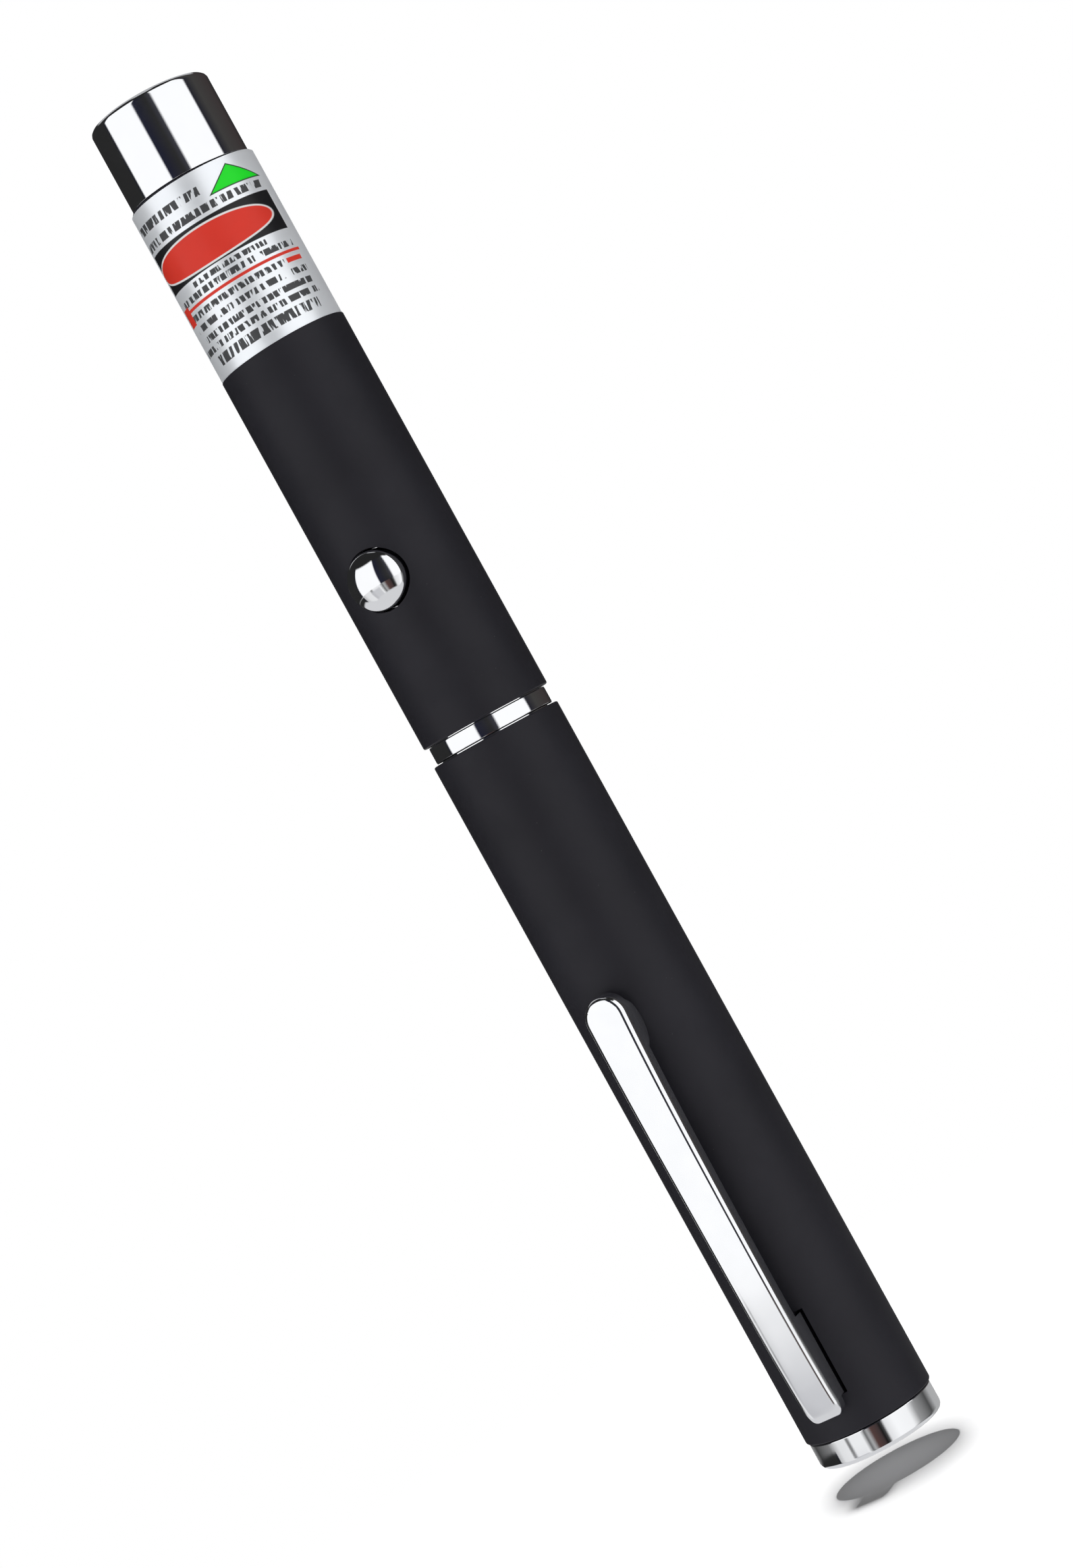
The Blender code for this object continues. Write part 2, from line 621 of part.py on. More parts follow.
def make_rear_barrel():
    """The black tube that holds the rear cell, with its threaded mouth and the slots for the clip's tabs."""
    length = REAR_BARREL_HEAD - REAR_BARREL_FOOT
    plug_depth = TAIL_LENGTH + TAIL_PLUG_LENGTH + REST_GAP - REAR_BARREL_FOOT
    mouth = RING_FOOT - RUN_GAP - REAR_BARREL_FOOT
    outline = [
        (PLUG_RADIUS + PRESS_GAP, 0),
        (PLUG_RADIUS + PRESS_GAP, plug_depth),
        (BORE_RADIUS, plug_depth),
        (BORE_RADIUS, mouth),
        (LAND_RADIUS, mouth),
        (LAND_RADIUS, length),
        (BARREL_RADIUS - EDGE_CHAMFER, length),
        (BARREL_RADIUS, length - EDGE_CHAMFER),
        (BARREL_RADIUS, EDGE_CHAMFER),
        (BARREL_RADIUS - EDGE_CHAMFER, 0),
    ]
    barrel = turned("rear_barrel", outline, (0, 0, REAR_BARREL_FOOT), OUTER_SIDES)
    groove = helix_ridge(
        "mouth_groove",
        RING_FOOT,
        REAR_BARREL_HEAD + THREAD_PITCH,
        SPIGOT_RADIUS - THREAD_SINK + THREAD_PLAY,
        GROOVE_RADIUS,
        THREAD_ROOT_SHARE * THREAD_PITCH + 2 * THREAD_AXIAL_PLAY,
        THREAD_CREST_SHARE * THREAD_PITCH + 2 * THREAD_AXIAL_PLAY,
    )
    cut(barrel, groove)
    inner, outer = tab_walls()
    for side, label in ((-1, "left"), (1, "right")):
        slot = box(
            f"clip_slot_{label}",
            at(BARREL_RADIUS + CUT_OVERRUN, TAB_FOOT - RUN_GAP, side * (inner - RUN_GAP)),
            at(BORE_RADIUS - CUT_OVERRUN, TAB_FOOT + TAB_LENGTH + RUN_GAP, side * (outer + RUN_GAP)),
        )
        cut(barrel, slot)
    return dress(barrel, "black coat")


def clip_top(height):
    """Rise of the clip's face: bowed along its length, and bent towards the barrel at its foot."""
    middle = (CLIP_FOOT + CLIP_TIP) / 2
    off_middle = abs(height - middle) / (CLIP_LENGTH / 2)
    rise = BARREL_RADIUS + CLIP_STAND - CLIP_BOW * off_middle**CLIP_BOW_POWER
    into_dip = 1 - (height - CLIP_FOOT) / CLIP_DIP_LENGTH
    return rise - CLIP_DIP * max(into_dip, 0)


def clip_full_half_width(height):
    """Half the clip's width before its ends are shaped."""
    share = min(max((height - CLIP_FOOT) / CLIP_LENGTH, 0), 1)
    return (CLIP_FOOT_WIDTH + (CLIP_TIP_WIDTH - CLIP_FOOT_WIDTH) * share**CLIP_TAPER_POWER) / 2


def clip_half_width(height, sheet=0):
    """Half the clip's width, less a sheet's thickness for the channel inside it."""
    half = clip_full_half_width(height)
    tip_radius = CLIP_TIP_WIDTH / 2
    past_tip_centre = max(height - (CLIP_TIP - tip_radius), 0)
    if past_tip_centre > 0:
        least = tip_radius * CLIP_TIP_SHARE
        round_half = math.sqrt(max(tip_radius**2 - past_tip_centre**2, 0))
        half = min(half, max(round_half, least))
    into_chamfer = max(1 - (height - CLIP_FOOT) / CLIP_CHAMFER_LENGTH, 0)
    return half - CLIP_CHAMFER_WIDTH * into_chamfer - sheet


def lobe_centre_rise():
    """Rise of the centre of the round lobes that press on the barrel."""
    inner = clip_full_half_width(LOBE_CENTRE) - CLIP_SHEET
    return math.sqrt(BARREL_RADIUS**2 - inner**2) + REST_GAP + LOBE_RADIUS


def clip_bottom(height):
    """Rise of the edge of the clip's walls, which swells into a round lobe near the tip."""
    edge = clip_top(height) - CLIP_DEPTH
    along = abs(height - LOBE_CENTRE)
    if along < LOBE_RADIUS:
        edge = min(edge, lobe_centre_rise() - math.sqrt(LOBE_RADIUS**2 - along**2))
    return edge


def clip_heights(low, high):
    """Heights of the clip's sections between two ends: close where its outline turns, wide along its run."""
    lobe_low = LOBE_CENTRE - LOBE_RADIUS
    run_low = CLIP_FOOT + CLIP_DIP_LENGTH
    heights = [low, CLIP_FOOT + CLIP_CHAMFER_LENGTH, high]
    for step in range(CLIP_RUN_SECTIONS + 1):
        heights.append(run_low + (lobe_low - run_low) * step / CLIP_RUN_SECTIONS)
    for step in range(CLIP_LOBE_SECTIONS + 1):
        angle = math.pi * (step / CLIP_LOBE_SECTIONS - 1 / 2)
        heights.append(LOBE_CENTRE + LOBE_RADIUS * math.sin(angle))
    for step in range(CLIP_TIP_SECTIONS):
        angle = math.pi / 2 * step / CLIP_TIP_SECTIONS
        heights.append(CLIP_TIP - CLIP_TIP_WIDTH / 2 * (1 - math.sin(angle)))
    kept = []
    for height in sorted(heights):
        if low <= height <= high - CLIP_LEAST_SPACING or height == high:
            if not kept or height - kept[-1] > CLIP_LEAST_SPACING or height == high:
                kept.append(height)
    return kept


def clip_section(height):
    """The clip's outer section at a height: straight walls and rounded corners."""
    half = clip_half_width(height)
    top = clip_top(height)
    bottom = clip_bottom(height)
    corner = min(CLIP_CORNER, half)
    points = [at(bottom, height, half)]
    for turn, side in ((0, 1), (90, -1)):
        for step in range(ARC_STEPS + 1):
            angle = math.radians(turn + 90 * step / ARC_STEPS)
            across = side * (half - corner) + corner * math.cos(angle)
            points.append(at(top - corner + corner * math.sin(angle), height, across))
    points.append(at(bottom, height, -half))
    return points


def channel_section(height):
    """The section of the hollow under the clip's sheet."""
    half = clip_half_width(height, CLIP_SHEET)
    top = clip_top(height) - CLIP_SHEET
    bottom = min(clip_bottom(height), BARREL_RADIUS) - CUT_OVERRUN
    return [at(bottom, height, half), at(top, height, half), at(top, height, -half), at(bottom, height, -half)]


def make_pocket_clip():
    """The stamped chrome clip: a channel with round lobes near its tip and a tab on each wall near its foot."""
    clip = loft("pocket_clip", [clip_section(height) for height in clip_heights(CLIP_FOOT, CLIP_TIP)])
    channel_heights = clip_heights(CLIP_FOOT + CLIP_SHEET, CLIP_TIP - CLIP_SHEET)
    cut(clip, loft("clip_channel", [channel_section(height) for height in channel_heights]))
    inner, outer = tab_walls()
    for side, label in ((-1, "left"), (1, "right")):
        tab = box(
            f"clip_tab_{label}",
            at(clip_bottom(TAB_CENTRE) + CLIP_SHEET, TAB_FOOT, side * inner),
            at(BARREL_RADIUS - TAB_DEPTH, TAB_FOOT + TAB_LENGTH, side * outer),
        )
        join(clip, tab)
    return dress(clip, "chrome")


def make_coupling_ring():
    """The chrome ring between the halves: a threaded spigot below, a press spigot above."""
    flange_foot = RING_FLANGE_FOOT - RING_FOOT
    flange_head = flange_foot + RING_LENGTH
    head = flange_head + RING_SPIGOT_LENGTH
    radius = BARREL_RADIUS - RING_STEP
    outline = [
        (BORE_RADIUS, 0),
        (BORE_RADIUS, head),
        (SPIGOT_RADIUS, head),
        (SPIGOT_RADIUS, flange_head),
        (radius - EDGE_CHAMFER, flange_head),
        (radius, flange_head - EDGE_CHAMFER),
        (radius, flange_foot + EDGE_CHAMFER),
        (radius - EDGE_CHAMFER, flange_foot),
        (SPIGOT_RADIUS, flange_foot),
        (SPIGOT_RADIUS, 0),
    ]
    ring = turned("coupling_ring", outline, (0, 0, RING_FOOT), OUTER_SIDES)
    thread = helix_ridge(
        "spigot_thread",
        RING_FOOT + THREAD_LEAD,
        RING_FOOT + THREAD_LEAD + THREAD_LENGTH,
        SPIGOT_RADIUS - THREAD_SINK,
        THREAD_RADIUS,
        THREAD_ROOT_SHARE * THREAD_PITCH,
        THREAD_CREST_SHARE * THREAD_PITCH,
    )
    return dress(join(ring, thread), "chrome")


def make_front_barrel():
    """The black tube that holds the board and the laser module, with the button's hole and the label's seat."""
    length = FRONT_BARREL_HEAD - FRONT_BARREL_FOOT
    seat = LABEL_FOOT - REST_GAP - FRONT_BARREL_FOOT
    seat_radius = BARREL_RADIUS - LABEL_INSET - LABEL_THICKNESS - PRESS_GAP
    outline = [
        (FRONT_BORE_RADIUS, 0),
        (FRONT_BORE_RADIUS, length),
        (seat_radius, length),
        (seat_radius, seat),
        (BARREL_RADIUS, seat),
        (BARREL_RADIUS, EDGE_CHAMFER),
        (BARREL_RADIUS - EDGE_CHAMFER, 0),
    ]
    barrel = turned("front_barrel", outline, (0, 0, FRONT_BARREL_FOOT), OUTER_SIDES)
    hole = disc(
        "button_hole",
        BUTTON_DIAMETER / 2 + RUN_GAP,
        0,
        BARREL_RADIUS + CUT_OVERRUN,
        at(0, BUTTON_HEIGHT),
        MIDDLE_SIDES,
    )
    return dress(cut(barrel, facing_out(hole)), "black coat")


def make_label_sleeve():
    outer = BARREL_RADIUS - LABEL_INSET
    sleeve = tube(
        "label_sleeve", outer - LABEL_THICKNESS, outer, 0, LABEL_LENGTH, (0, 0, LABEL_FOOT), OUTER_SIDES
    )
    return dress(sleeve, "label foil")


def make_button_cap():
    """The domed chrome button: a shell whose flange can't leave the barrel, and a post on the plunger."""
    radius = BUTTON_DIAMETER / 2
    flange_radius = BUTTON_FLANGE_DIAMETER / 2
    dome_radius = radius + BUTTON_DOME_SPREAD
    dome_centre = BARREL_RADIUS + BUTTON_CROWN_RISE - dome_radius
    dome_foot = math.acos(radius / dome_radius)
    wall_head = dome_centre + dome_radius * math.sin(dome_foot)
    pocket_radius = radius - BUTTON_SHELL_WALL
    pocket_roof = wall_head - BUTTON_SHELL_WALL
    post_radius = BUTTON_POST_DIAMETER / 2
    post_foot = PLUNGER_RISE + REST_GAP
    outline = arc(0, dome_centre, dome_radius, dome_radius, 90, math.degrees(dome_foot), 2 * ARC_STEPS)
    outline += [
        (radius, FLANGE_OUTER_RISE),
        (flange_radius, FLANGE_OUTER_RISE),
        (flange_radius, FLANGE_INNER_RISE),
        (pocket_radius, FLANGE_INNER_RISE),
        (pocket_radius, pocket_roof),
        (post_radius, pocket_roof),
        (post_radius, post_foot),
        (0, post_foot),
    ]
    cap = turned("button_cap", outline, at(0, BUTTON_HEIGHT), MIDDLE_SIDES)
    return dress(facing_out(cap), "chrome")


def make_switch():
    """The push switch: its body, its steel cover and the plunger that moves with the button."""
    half = SWITCH_SIDE / 2
    hole_radius = SWITCH_HOLE_DIAMETER / 2
    low = BUTTON_HEIGHT - half
    high = BUTTON_HEIGHT + half
    body = box("switch_body", at(SWITCH_FOOT_RISE, low, -half), at(SWITCH_TOP_RISE, high, half))
    cover = box(
        "switch_cover",
        at(SWITCH_TOP_RISE + SOLDER_GAP, low, -half),
        at(SWITCH_COVER_RISE, high, half),
    )
    floor = SWITCH_FOOT_RISE + SWITCH_FLOOR
    for piece in (body, cover):
        hole = disc(
            f"{piece.name}_hole", hole_radius, floor, SWITCH_COVER_RISE + CUT_OVERRUN, at(0, BUTTON_HEIGHT)
        )
        cut(piece, facing_out(hole))
    plunger = disc(
        "switch_plunger",
        PLUNGER_DIAMETER / 2,
        floor + BUTTON_TRAVEL + REST_GAP,
        PLUNGER_RISE,
        at(0, BUTTON_HEIGHT),
    )
    dress(body, "black plastic")
    dress(cover, "spring steel")
    dress(facing_out(plunger), "white plastic")
    return body, cover, plunger


def make_board():
    half = math.sqrt((FRONT_BORE_RADIUS - BOARD_EDGE_GAP) ** 2 - BOARD_FRONT_RISE**2)
    board = box(
        "driver_board",
        at(BOARD_BACK_RISE, BOARD_FOOT, -half),
        at(BOARD_FRONT_RISE, BOARD_HEAD, half),
    )
    return dress(board, "board laminate")


def make_cradle():
    """The plastic cradle: a disc that carries the contact spring, and a half round that backs the board."""
    disc_head = CRADLE_FOOT + CRADLE_DISC_THICKNESS
    cradle = disc("board_cradle", SPIGOT_RADIUS, 0, BOARD_HEAD - CRADLE_FOOT, (0, 0, CRADLE_FOOT), MIDDLE_SIDES)
    overrun_radius = SPIGOT_RADIUS + CUT_OVERRUN
    flat = box(
        "cradle_flat",
        at(CRADLE_FLAT_RISE, disc_head, -overrun_radius),
        at(overrun_radius, BOARD_HEAD + CUT_OVERRUN, overrun_radius),
    )
    pocket = box(
        "cradle_pocket",
        at(CRADLE_FLAT_RISE - CRADLE_POCKET_DEPTH, disc_head + CRADLE_WALL, -CRADLE_POCKET_WIDTH / 2),
        at(CRADLE_FLAT_RISE + CUT_OVERRUN, BOARD_HEAD - CRADLE_WALL, CRADLE_POCKET_WIDTH / 2),
    )
    hole = disc(
        "contact_hole",
        CONTACT_SPRING_WIRE / 2 + CONTACT_HOLE_SLACK,
        -CUT_OVERRUN,
        CRADLE_DISC_THICKNESS + CUT_OVERRUN,
        at(CONTACT_TAIL_RISE, CRADLE_FOOT),
    )
    return dress(cut(cradle, flat, pocket, hole), "black plastic")


def make_contact_spring():
    """The spring on the front cell, whose tail goes up through the cradle and lies on the board."""
    head = CONTACT_SPRING_FOOT + CONTACT_SPRING_HEIGHT
    spring = coil(
        "contact_spring",
        CONTACT_SPRING_WIRE,
        CONTACT_SPRING_TURNS,
        CONTACT_SPRING_FOOT,
        head,
        CONTACT_SPRING_FOOT_RADIUS,
        CONTACT_TAIL_RISE,
        [at(CONTACT_TAIL_RISE, head), at(CONTACT_TAIL_RISE, BOARD_FOOT + CONTACT_TAIL_LENGTH)],
    )
    return dress(spring, "spring steel")


def make_trimmer():
    """The trimmer that sets the diode's current: its base and the slotted rotor that turns in it."""
    half = TRIMMER_SIDE / 2
    top = PART_FOOT_RISE + TRIMMER_HEIGHT
    floor = PART_FOOT_RISE + TRIMMER_FLOOR
    base = box("trimmer_base", at(PART_FOOT_RISE, TRIMMER_FOOT, -half), at(top, TRIMMER_FOOT + TRIMMER_SIDE, half))
    rotor_radius = TRIMMER_ROTOR_DIAMETER / 2
    pocket = disc(
        "trimmer_pocket", rotor_radius + REST_GAP, floor, top + CUT_OVERRUN, at(0, TRIMMER_CENTRE)
    )
    cut(base, facing_out(pocket))
    rotor_top = top + TRIMMER_ROTOR_PROUD
    rotor = disc("trimmer_rotor", rotor_radius, floor + REST_GAP, rotor_top, at(0, TRIMMER_CENTRE))
    slot_half = TRIMMER_SLOT_WIDTH / 2
    slot = box(
        "rotor_slot",
        at(rotor_top - TRIMMER_SLOT_DEPTH, TRIMMER_CENTRE - slot_half, -half),
        at(rotor_top + CUT_OVERRUN, TRIMMER_CENTRE + slot_half, half),
    )
    cut(facing_out(rotor), slot)
    dress(base, "white plastic")
    dress(rotor, "brass")
    return base, rotor


def make_chips():
    """The parts soldered to the board: the driver chip with its legs, a transistor and a capacitor."""
    half = CHIP_WIDTH / 2
    middle = CHIP_FOOT + CHIP_LENGTH / 2
    chip = box(
        "driver_chip",
        at(PART_FOOT_RISE, CHIP_FOOT, -half),
        at(PART_FOOT_RISE + CHIP_HEIGHT, CHIP_FOOT + CHIP_LENGTH, half),
    )
    for row in range(CHIP_LEGS_A_SIDE):
        height = middle + (row - (CHIP_LEGS_A_SIDE - 1) / 2) * CHIP_LEG_PITCH
        leg = box(
            f"chip_legs_{row}",
            at(PART_FOOT_RISE, height - CHIP_LEG_WIDTH / 2, -half - CHIP_LEG_REACH),
            at(PART_FOOT_RISE + CHIP_LEG_HEIGHT, height + CHIP_LEG_WIDTH / 2, half + CHIP_LEG_REACH),
        )
        join(chip, leg)
    small = []
    for name, side, size in (
        ("drive_transistor", 1, TRANSISTOR_SIZE),
        ("smoothing_capacitor", -1, CAPACITOR_SIZE),
    ):
        width, thickness, length = size
        centre = side * SMALL_CHIP_OFFSET
        low = at(PART_FOOT_RISE, SMALL_CHIP_FOOT, centre - width / 2)
        high = at(PART_FOOT_RISE + thickness, SMALL_CHIP_FOOT + length, centre + width / 2)
        small.append(box(name, low, high))
    dress(chip, "black plastic")
    dress(small[0], "black plastic")
    dress(small[1], "ceramic")
    return [chip, *small]


def make_module_housing():
    """The brass body of the laser module, bored in three steps."""
    diode_radius = DIODE_MOUNT_DIAMETER / 2 + PRESS_GAP
    crystal_radius = CRYSTAL_MOUNT_DIAMETER / 2 + PRESS_GAP
    crystal_step = DIODE_BORE_DEPTH
    lens_step = crystal_step + CRYSTAL_BORE_DEPTH
    head = lens_step + LENS_BORE_DEPTH
    outline = [
        (diode_radius, 0),
        (diode_radius, crystal_step),
        (crystal_radius, crystal_step),
        (crystal_radius, lens_step),
        (LENS_BORE_RADIUS, lens_step),
        (LENS_BORE_RADIUS, head),
        (SPIGOT_RADIUS, head),
        (SPIGOT_RADIUS, 0),
    ]
    return dress(turned("module_housing", outline, (0, 0, MODULE_FOOT), MIDDLE_SIDES), "brass")


def make_diode():
    """The pump diode with its pins, the heat sink it sits in and the ring that holds it there."""
    mount_head = CRYSTAL_STEP - REST_GAP
    mount_foot = mount_head - DIODE_MOUNT_LENGTH
    can_head = mount_head - DIODE_CAN_SETBACK
    flange_head = can_head - DIODE_CAN_HEIGHT
    flange_foot = flange_head - DIODE_FLANGE_THICKNESS
    flange_radius = DIODE_FLANGE_DIAMETER / 2
    can_radius = DIODE_CAN_DIAMETER / 2
    window_radius = DIODE_WINDOW_DIAMETER / 2
    seat = flange_head + REST_GAP - mount_foot
    mount = turned(
        "diode_mount",
        [
            (flange_radius + PRESS_GAP, 0),
            (flange_radius + PRESS_GAP, seat),
            (can_radius + RUN_GAP, seat),
            (can_radius + RUN_GAP, DIODE_MOUNT_LENGTH),
            (DIODE_MOUNT_DIAMETER / 2, DIODE_MOUNT_LENGTH),
            (DIODE_MOUNT_DIAMETER / 2, 0),
        ],
        (0, 0, mount_foot),
    )
    can_top = can_head - flange_foot
    window_floor = can_top - DIODE_WINDOW_DEPTH
    diode = turned(
        "laser_diode",
        [
            (0, window_floor),
            (window_radius, window_floor),
            (window_radius, can_top),
            (can_radius, can_top),
            (can_radius, DIODE_FLANGE_THICKNESS),
            (flange_radius, DIODE_FLANGE_THICKNESS),
            (flange_radius, 0),
            (0, 0),
        ],
        (0, 0, flange_foot),
    )
    pin_foot = BOARD_HEAD + DIODE_PIN_GAP
    for index in range(DIODE_PINS):
        angle = math.tau * index / DIODE_PINS
        circle = DIODE_PIN_CIRCLE / 2
        pin = disc(
            f"diode_pin_{index}",
            DIODE_PIN_DIAMETER / 2,
            0,
            flange_foot + DIODE_FLANGE_THICKNESS / 2 - pin_foot,
            (circle * math.cos(angle), circle * math.sin(angle), pin_foot),
            INNER_SIDES // 2,
        )
        join(diode, pin)
    retainer_head = flange_foot - REST_GAP
    retainer = tube(
        "diode_retainer",
        DIODE_RETAINER_BORE / 2,
        flange_radius,
        0,
        DIODE_RETAINER_LENGTH,
        (0, 0, retainer_head - DIODE_RETAINER_LENGTH),
    )
    dress(mount, "aluminium")
    dress(diode, "gold plate")
    dress(retainer, "brass")
    return [mount, diode, retainer]


def make_crystal():
    """The doubling crystal in its mount, and the small hollow lens that spreads the beam."""
    head = LENS_STEP - REST_GAP
    foot = head - CRYSTAL_MOUNT_LENGTH
    crystal_bore = CRYSTAL_SIDE / math.sqrt(2) + PRESS_GAP
    lens_radius = EXPANDER_DIAMETER / 2
    lens_seat = CRYSTAL_MOUNT_LENGTH - EXPANDER_THICKNESS - REST_GAP
    mount = turned(
        "crystal_mount",
        [
            (crystal_bore, 0),
            (crystal_bore, lens_seat),
            (lens_radius + PRESS_GAP, lens_seat),
            (lens_radius + PRESS_GAP, CRYSTAL_MOUNT_LENGTH),
            (CRYSTAL_MOUNT_DIAMETER / 2, CRYSTAL_MOUNT_LENGTH),
            (CRYSTAL_MOUNT_DIAMETER / 2, 0),
        ],
        (0, 0, foot),
    )
    half = CRYSTAL_SIDE / 2
    crystal_foot = foot + CRYSTAL_INSET
    crystal = box("laser_crystal", (-half, -half, crystal_foot), (half, half, crystal_foot + CRYSTAL_LENGTH))
    hollow_radius = lens_radius - EXPANDER_RIM
    hollow = arc(0, EXPANDER_THICKNESS, hollow_radius, EXPANDER_HOLLOW_DEPTH, -90, 0)
    expander = turned(
        "expander_lens",
        hollow + [(lens_radius, EXPANDER_THICKNESS), (lens_radius, 0), (0, 0)],
        (0, 0, head - EXPANDER_THICKNESS),
    )
    dress(mount, "brass")
    dress(crystal, "crystal")
    dress(expander, "lens glass")
    return [mount, crystal, expander]


def make_lens():
    """The collimating lens in its sliding barrel, the ring that holds it and the spring behind it."""
    bore = LENS_BARREL_RADIUS - LENS_BARREL_WALL
    lens_radius = bore - PRESS_GAP
    retainer_head = LENS_BARREL_LENGTH - REST_GAP
    retainer_foot = retainer_head - LENS_RETAINER_LENGTH
    rim_head = retainer_foot - REST_GAP
    rim_foot = rim_head - LENS_RIM_THICKNESS
    seat = rim_foot - REST_GAP
    barrel = turned(
        "lens_barrel",
        [
            (bore - LENS_SEAT_WIDTH, 0),
            (bore - LENS_SEAT_WIDTH, seat),
            (bore, seat),
            (bore, LENS_BARREL_LENGTH),
            (LENS_BARREL_RADIUS, LENS_BARREL_LENGTH),
            (LENS_BARREL_RADIUS, 0),
        ],
        (0, 0, LENS_BARREL_FOOT),
        MIDDLE_SIDES,
    )
    dome_radius = LENS_DOME_DIAMETER / 2
    dome = arc(0, LENS_RIM_THICKNESS, dome_radius, LENS_DOME_HEIGHT, 90, 0)
    lens = turned(
        "collimating_lens",
        dome + [(lens_radius, LENS_RIM_THICKNESS), (lens_radius, 0), (0, 0)],
        (0, 0, LENS_BARREL_FOOT + rim_foot),
        MIDDLE_SIDES,
    )
    retainer = tube(
        "lens_retainer",
        lens_radius - LENS_RETAINER_WALL,
        lens_radius,
        0,
        LENS_RETAINER_LENGTH,
        (0, 0, LENS_BARREL_FOOT + retainer_foot),
        MIDDLE_SIDES,
    )
    crystal_radius = CRYSTAL_MOUNT_DIAMETER / 2 + PRESS_GAP
    spring_radius = (crystal_radius + LENS_BORE_RADIUS) / 2
    spring = coil(
        "lens_spring",
        LENS_SPRING_WIRE,
        LENS_SPRING_TURNS,
        LENS_SPRING_FOOT,
        LENS_SPRING_FOOT + LENS_SPRING_HEIGHT,
        spring_radius,
        spring_radius,
    )
    dress(barrel, "aluminium")
    dress(lens, "lens glass")
    dress(retainer, "brass")
    dress(spring, "spring steel")
    return [barrel, lens, retainer, spring]


def make_nose():
    """The chrome nose, pressed into the barrel, and the filter that sits behind its aperture."""
    radius = BARREL_RADIUS - NOSE_STEP
    head = NOSE_HEAD - NOSE_FOOT
    shoulder = NOSE_SHOULDER - NOSE_FOOT
    bore = LENS_BARREL_RADIUS + RUN_GAP
    bore_end = FILTER_FOOT - SOLDER_GAP - NOSE_FOOT
    pocket = FILTER_DIAMETER / 2 + PRESS_GAP
    outline = [
        (bore, 0),
        (bore, bore_end),
        (pocket, bore_end),
        (pocket, NOSE_APERTURE - NOSE_FOOT),
        (APERTURE_DIAMETER / 2, NOSE_APERTURE - NOSE_FOOT),
        (APERTURE_DIAMETER / 2, NOSE_CONE - NOSE_FOOT),
        (APERTURE_CONE_DIAMETER / 2, head),
    ]
    outline += arc(radius - NOSE_ROUNDING, head - NOSE_ROUNDING, NOSE_ROUNDING, NOSE_ROUNDING, 90, 0)
    outline += [(radius, shoulder), (SPIGOT_RADIUS, shoulder), (SPIGOT_RADIUS, 0)]
    nose = turned("nose_cap", outline, (0, 0, NOSE_FOOT), OUTER_SIDES)
    window = disc("aperture_window", FILTER_DIAMETER / 2, 0, FILTER_THICKNESS, (0, 0, FILTER_FOOT))
    dress(nose, "chrome")
    dress(window, "filter glass")
    return [nose, window]


def main():
    clear_scene()
    new_collection(MODEL_NAME)
    new_collection("cutters")
    rear = [make_rear_barrel(), make_tail_cap(), make_tail_spring()]
    clip = make_pocket_clip()
    cells = make_cell("rear_cell", REAR_CELL_FOOT) + make_cell("front_cell", FRONT_CELL_FOOT)
    front = [make_coupling_ring(), make_front_barrel(), make_label_sleeve()]
    front += [make_cradle(), make_contact_spring(), make_board()]
    switch_body, switch_cover, switch_plunger = make_switch()
    trimmer_base, trimmer_rotor = make_trimmer()
    front += [switch_body, switch_cover, trimmer_base, *make_chips()]
    front += [make_module_housing(), *make_diode(), *make_crystal(), *make_lens(), *make_nose()]
    button = [make_button_cap(), switch_plunger]
    settle([*rear, clip, *cells, *front, *button, trimmer_rotor])

    rear_carrier = carrier("rear_half", (0, 0, 0))
    clip_carrier = carrier("clip_hinge", at(BARREL_RADIUS, TAB_CENTRE), rear_carrier)
    cell_carrier = carrier("cell_stack", (0, 0, REAR_CELL_FOOT), rear_carrier)
    front_carrier = carrier("front_half", (0, 0, REAR_BARREL_HEAD), cell_carrier)
    button_carrier = carrier("button_slide", at(0, BUTTON_HEIGHT), front_carrier)
    trimmer_carrier = carrier("trimmer_axis", at(0, TRIMMER_CENTRE), front_carrier)
    hang(rear_carrier, *rear)
    hang(clip_carrier, clip)
    hang(cell_carrier, *cells)
    hang(front_carrier, *front)
    hang(button_carrier, *button)
    hang(trimmer_carrier, trimmer_rotor)
    bpy.context.view_layer.update()


main()
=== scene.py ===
"""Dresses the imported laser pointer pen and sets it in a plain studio.

Lengths are in metres. +Z runs from the tail to the nose, the clip and the button face -Y, and the pen's axis is
the Z axis. A rise is a distance from the axis towards -Y. Turned pieces are outlines of (radius, height,
rounding) corners, spun about Z, that run up the inner side and down the outer side.
"""

import json
import math

import bmesh
import bpy
from bpy.props import FloatProperty, FloatVectorProperty, PointerProperty
from bpy.types import NodeSocket, Operator, Panel, PropertyGroup
from mathutils import Matrix, Vector


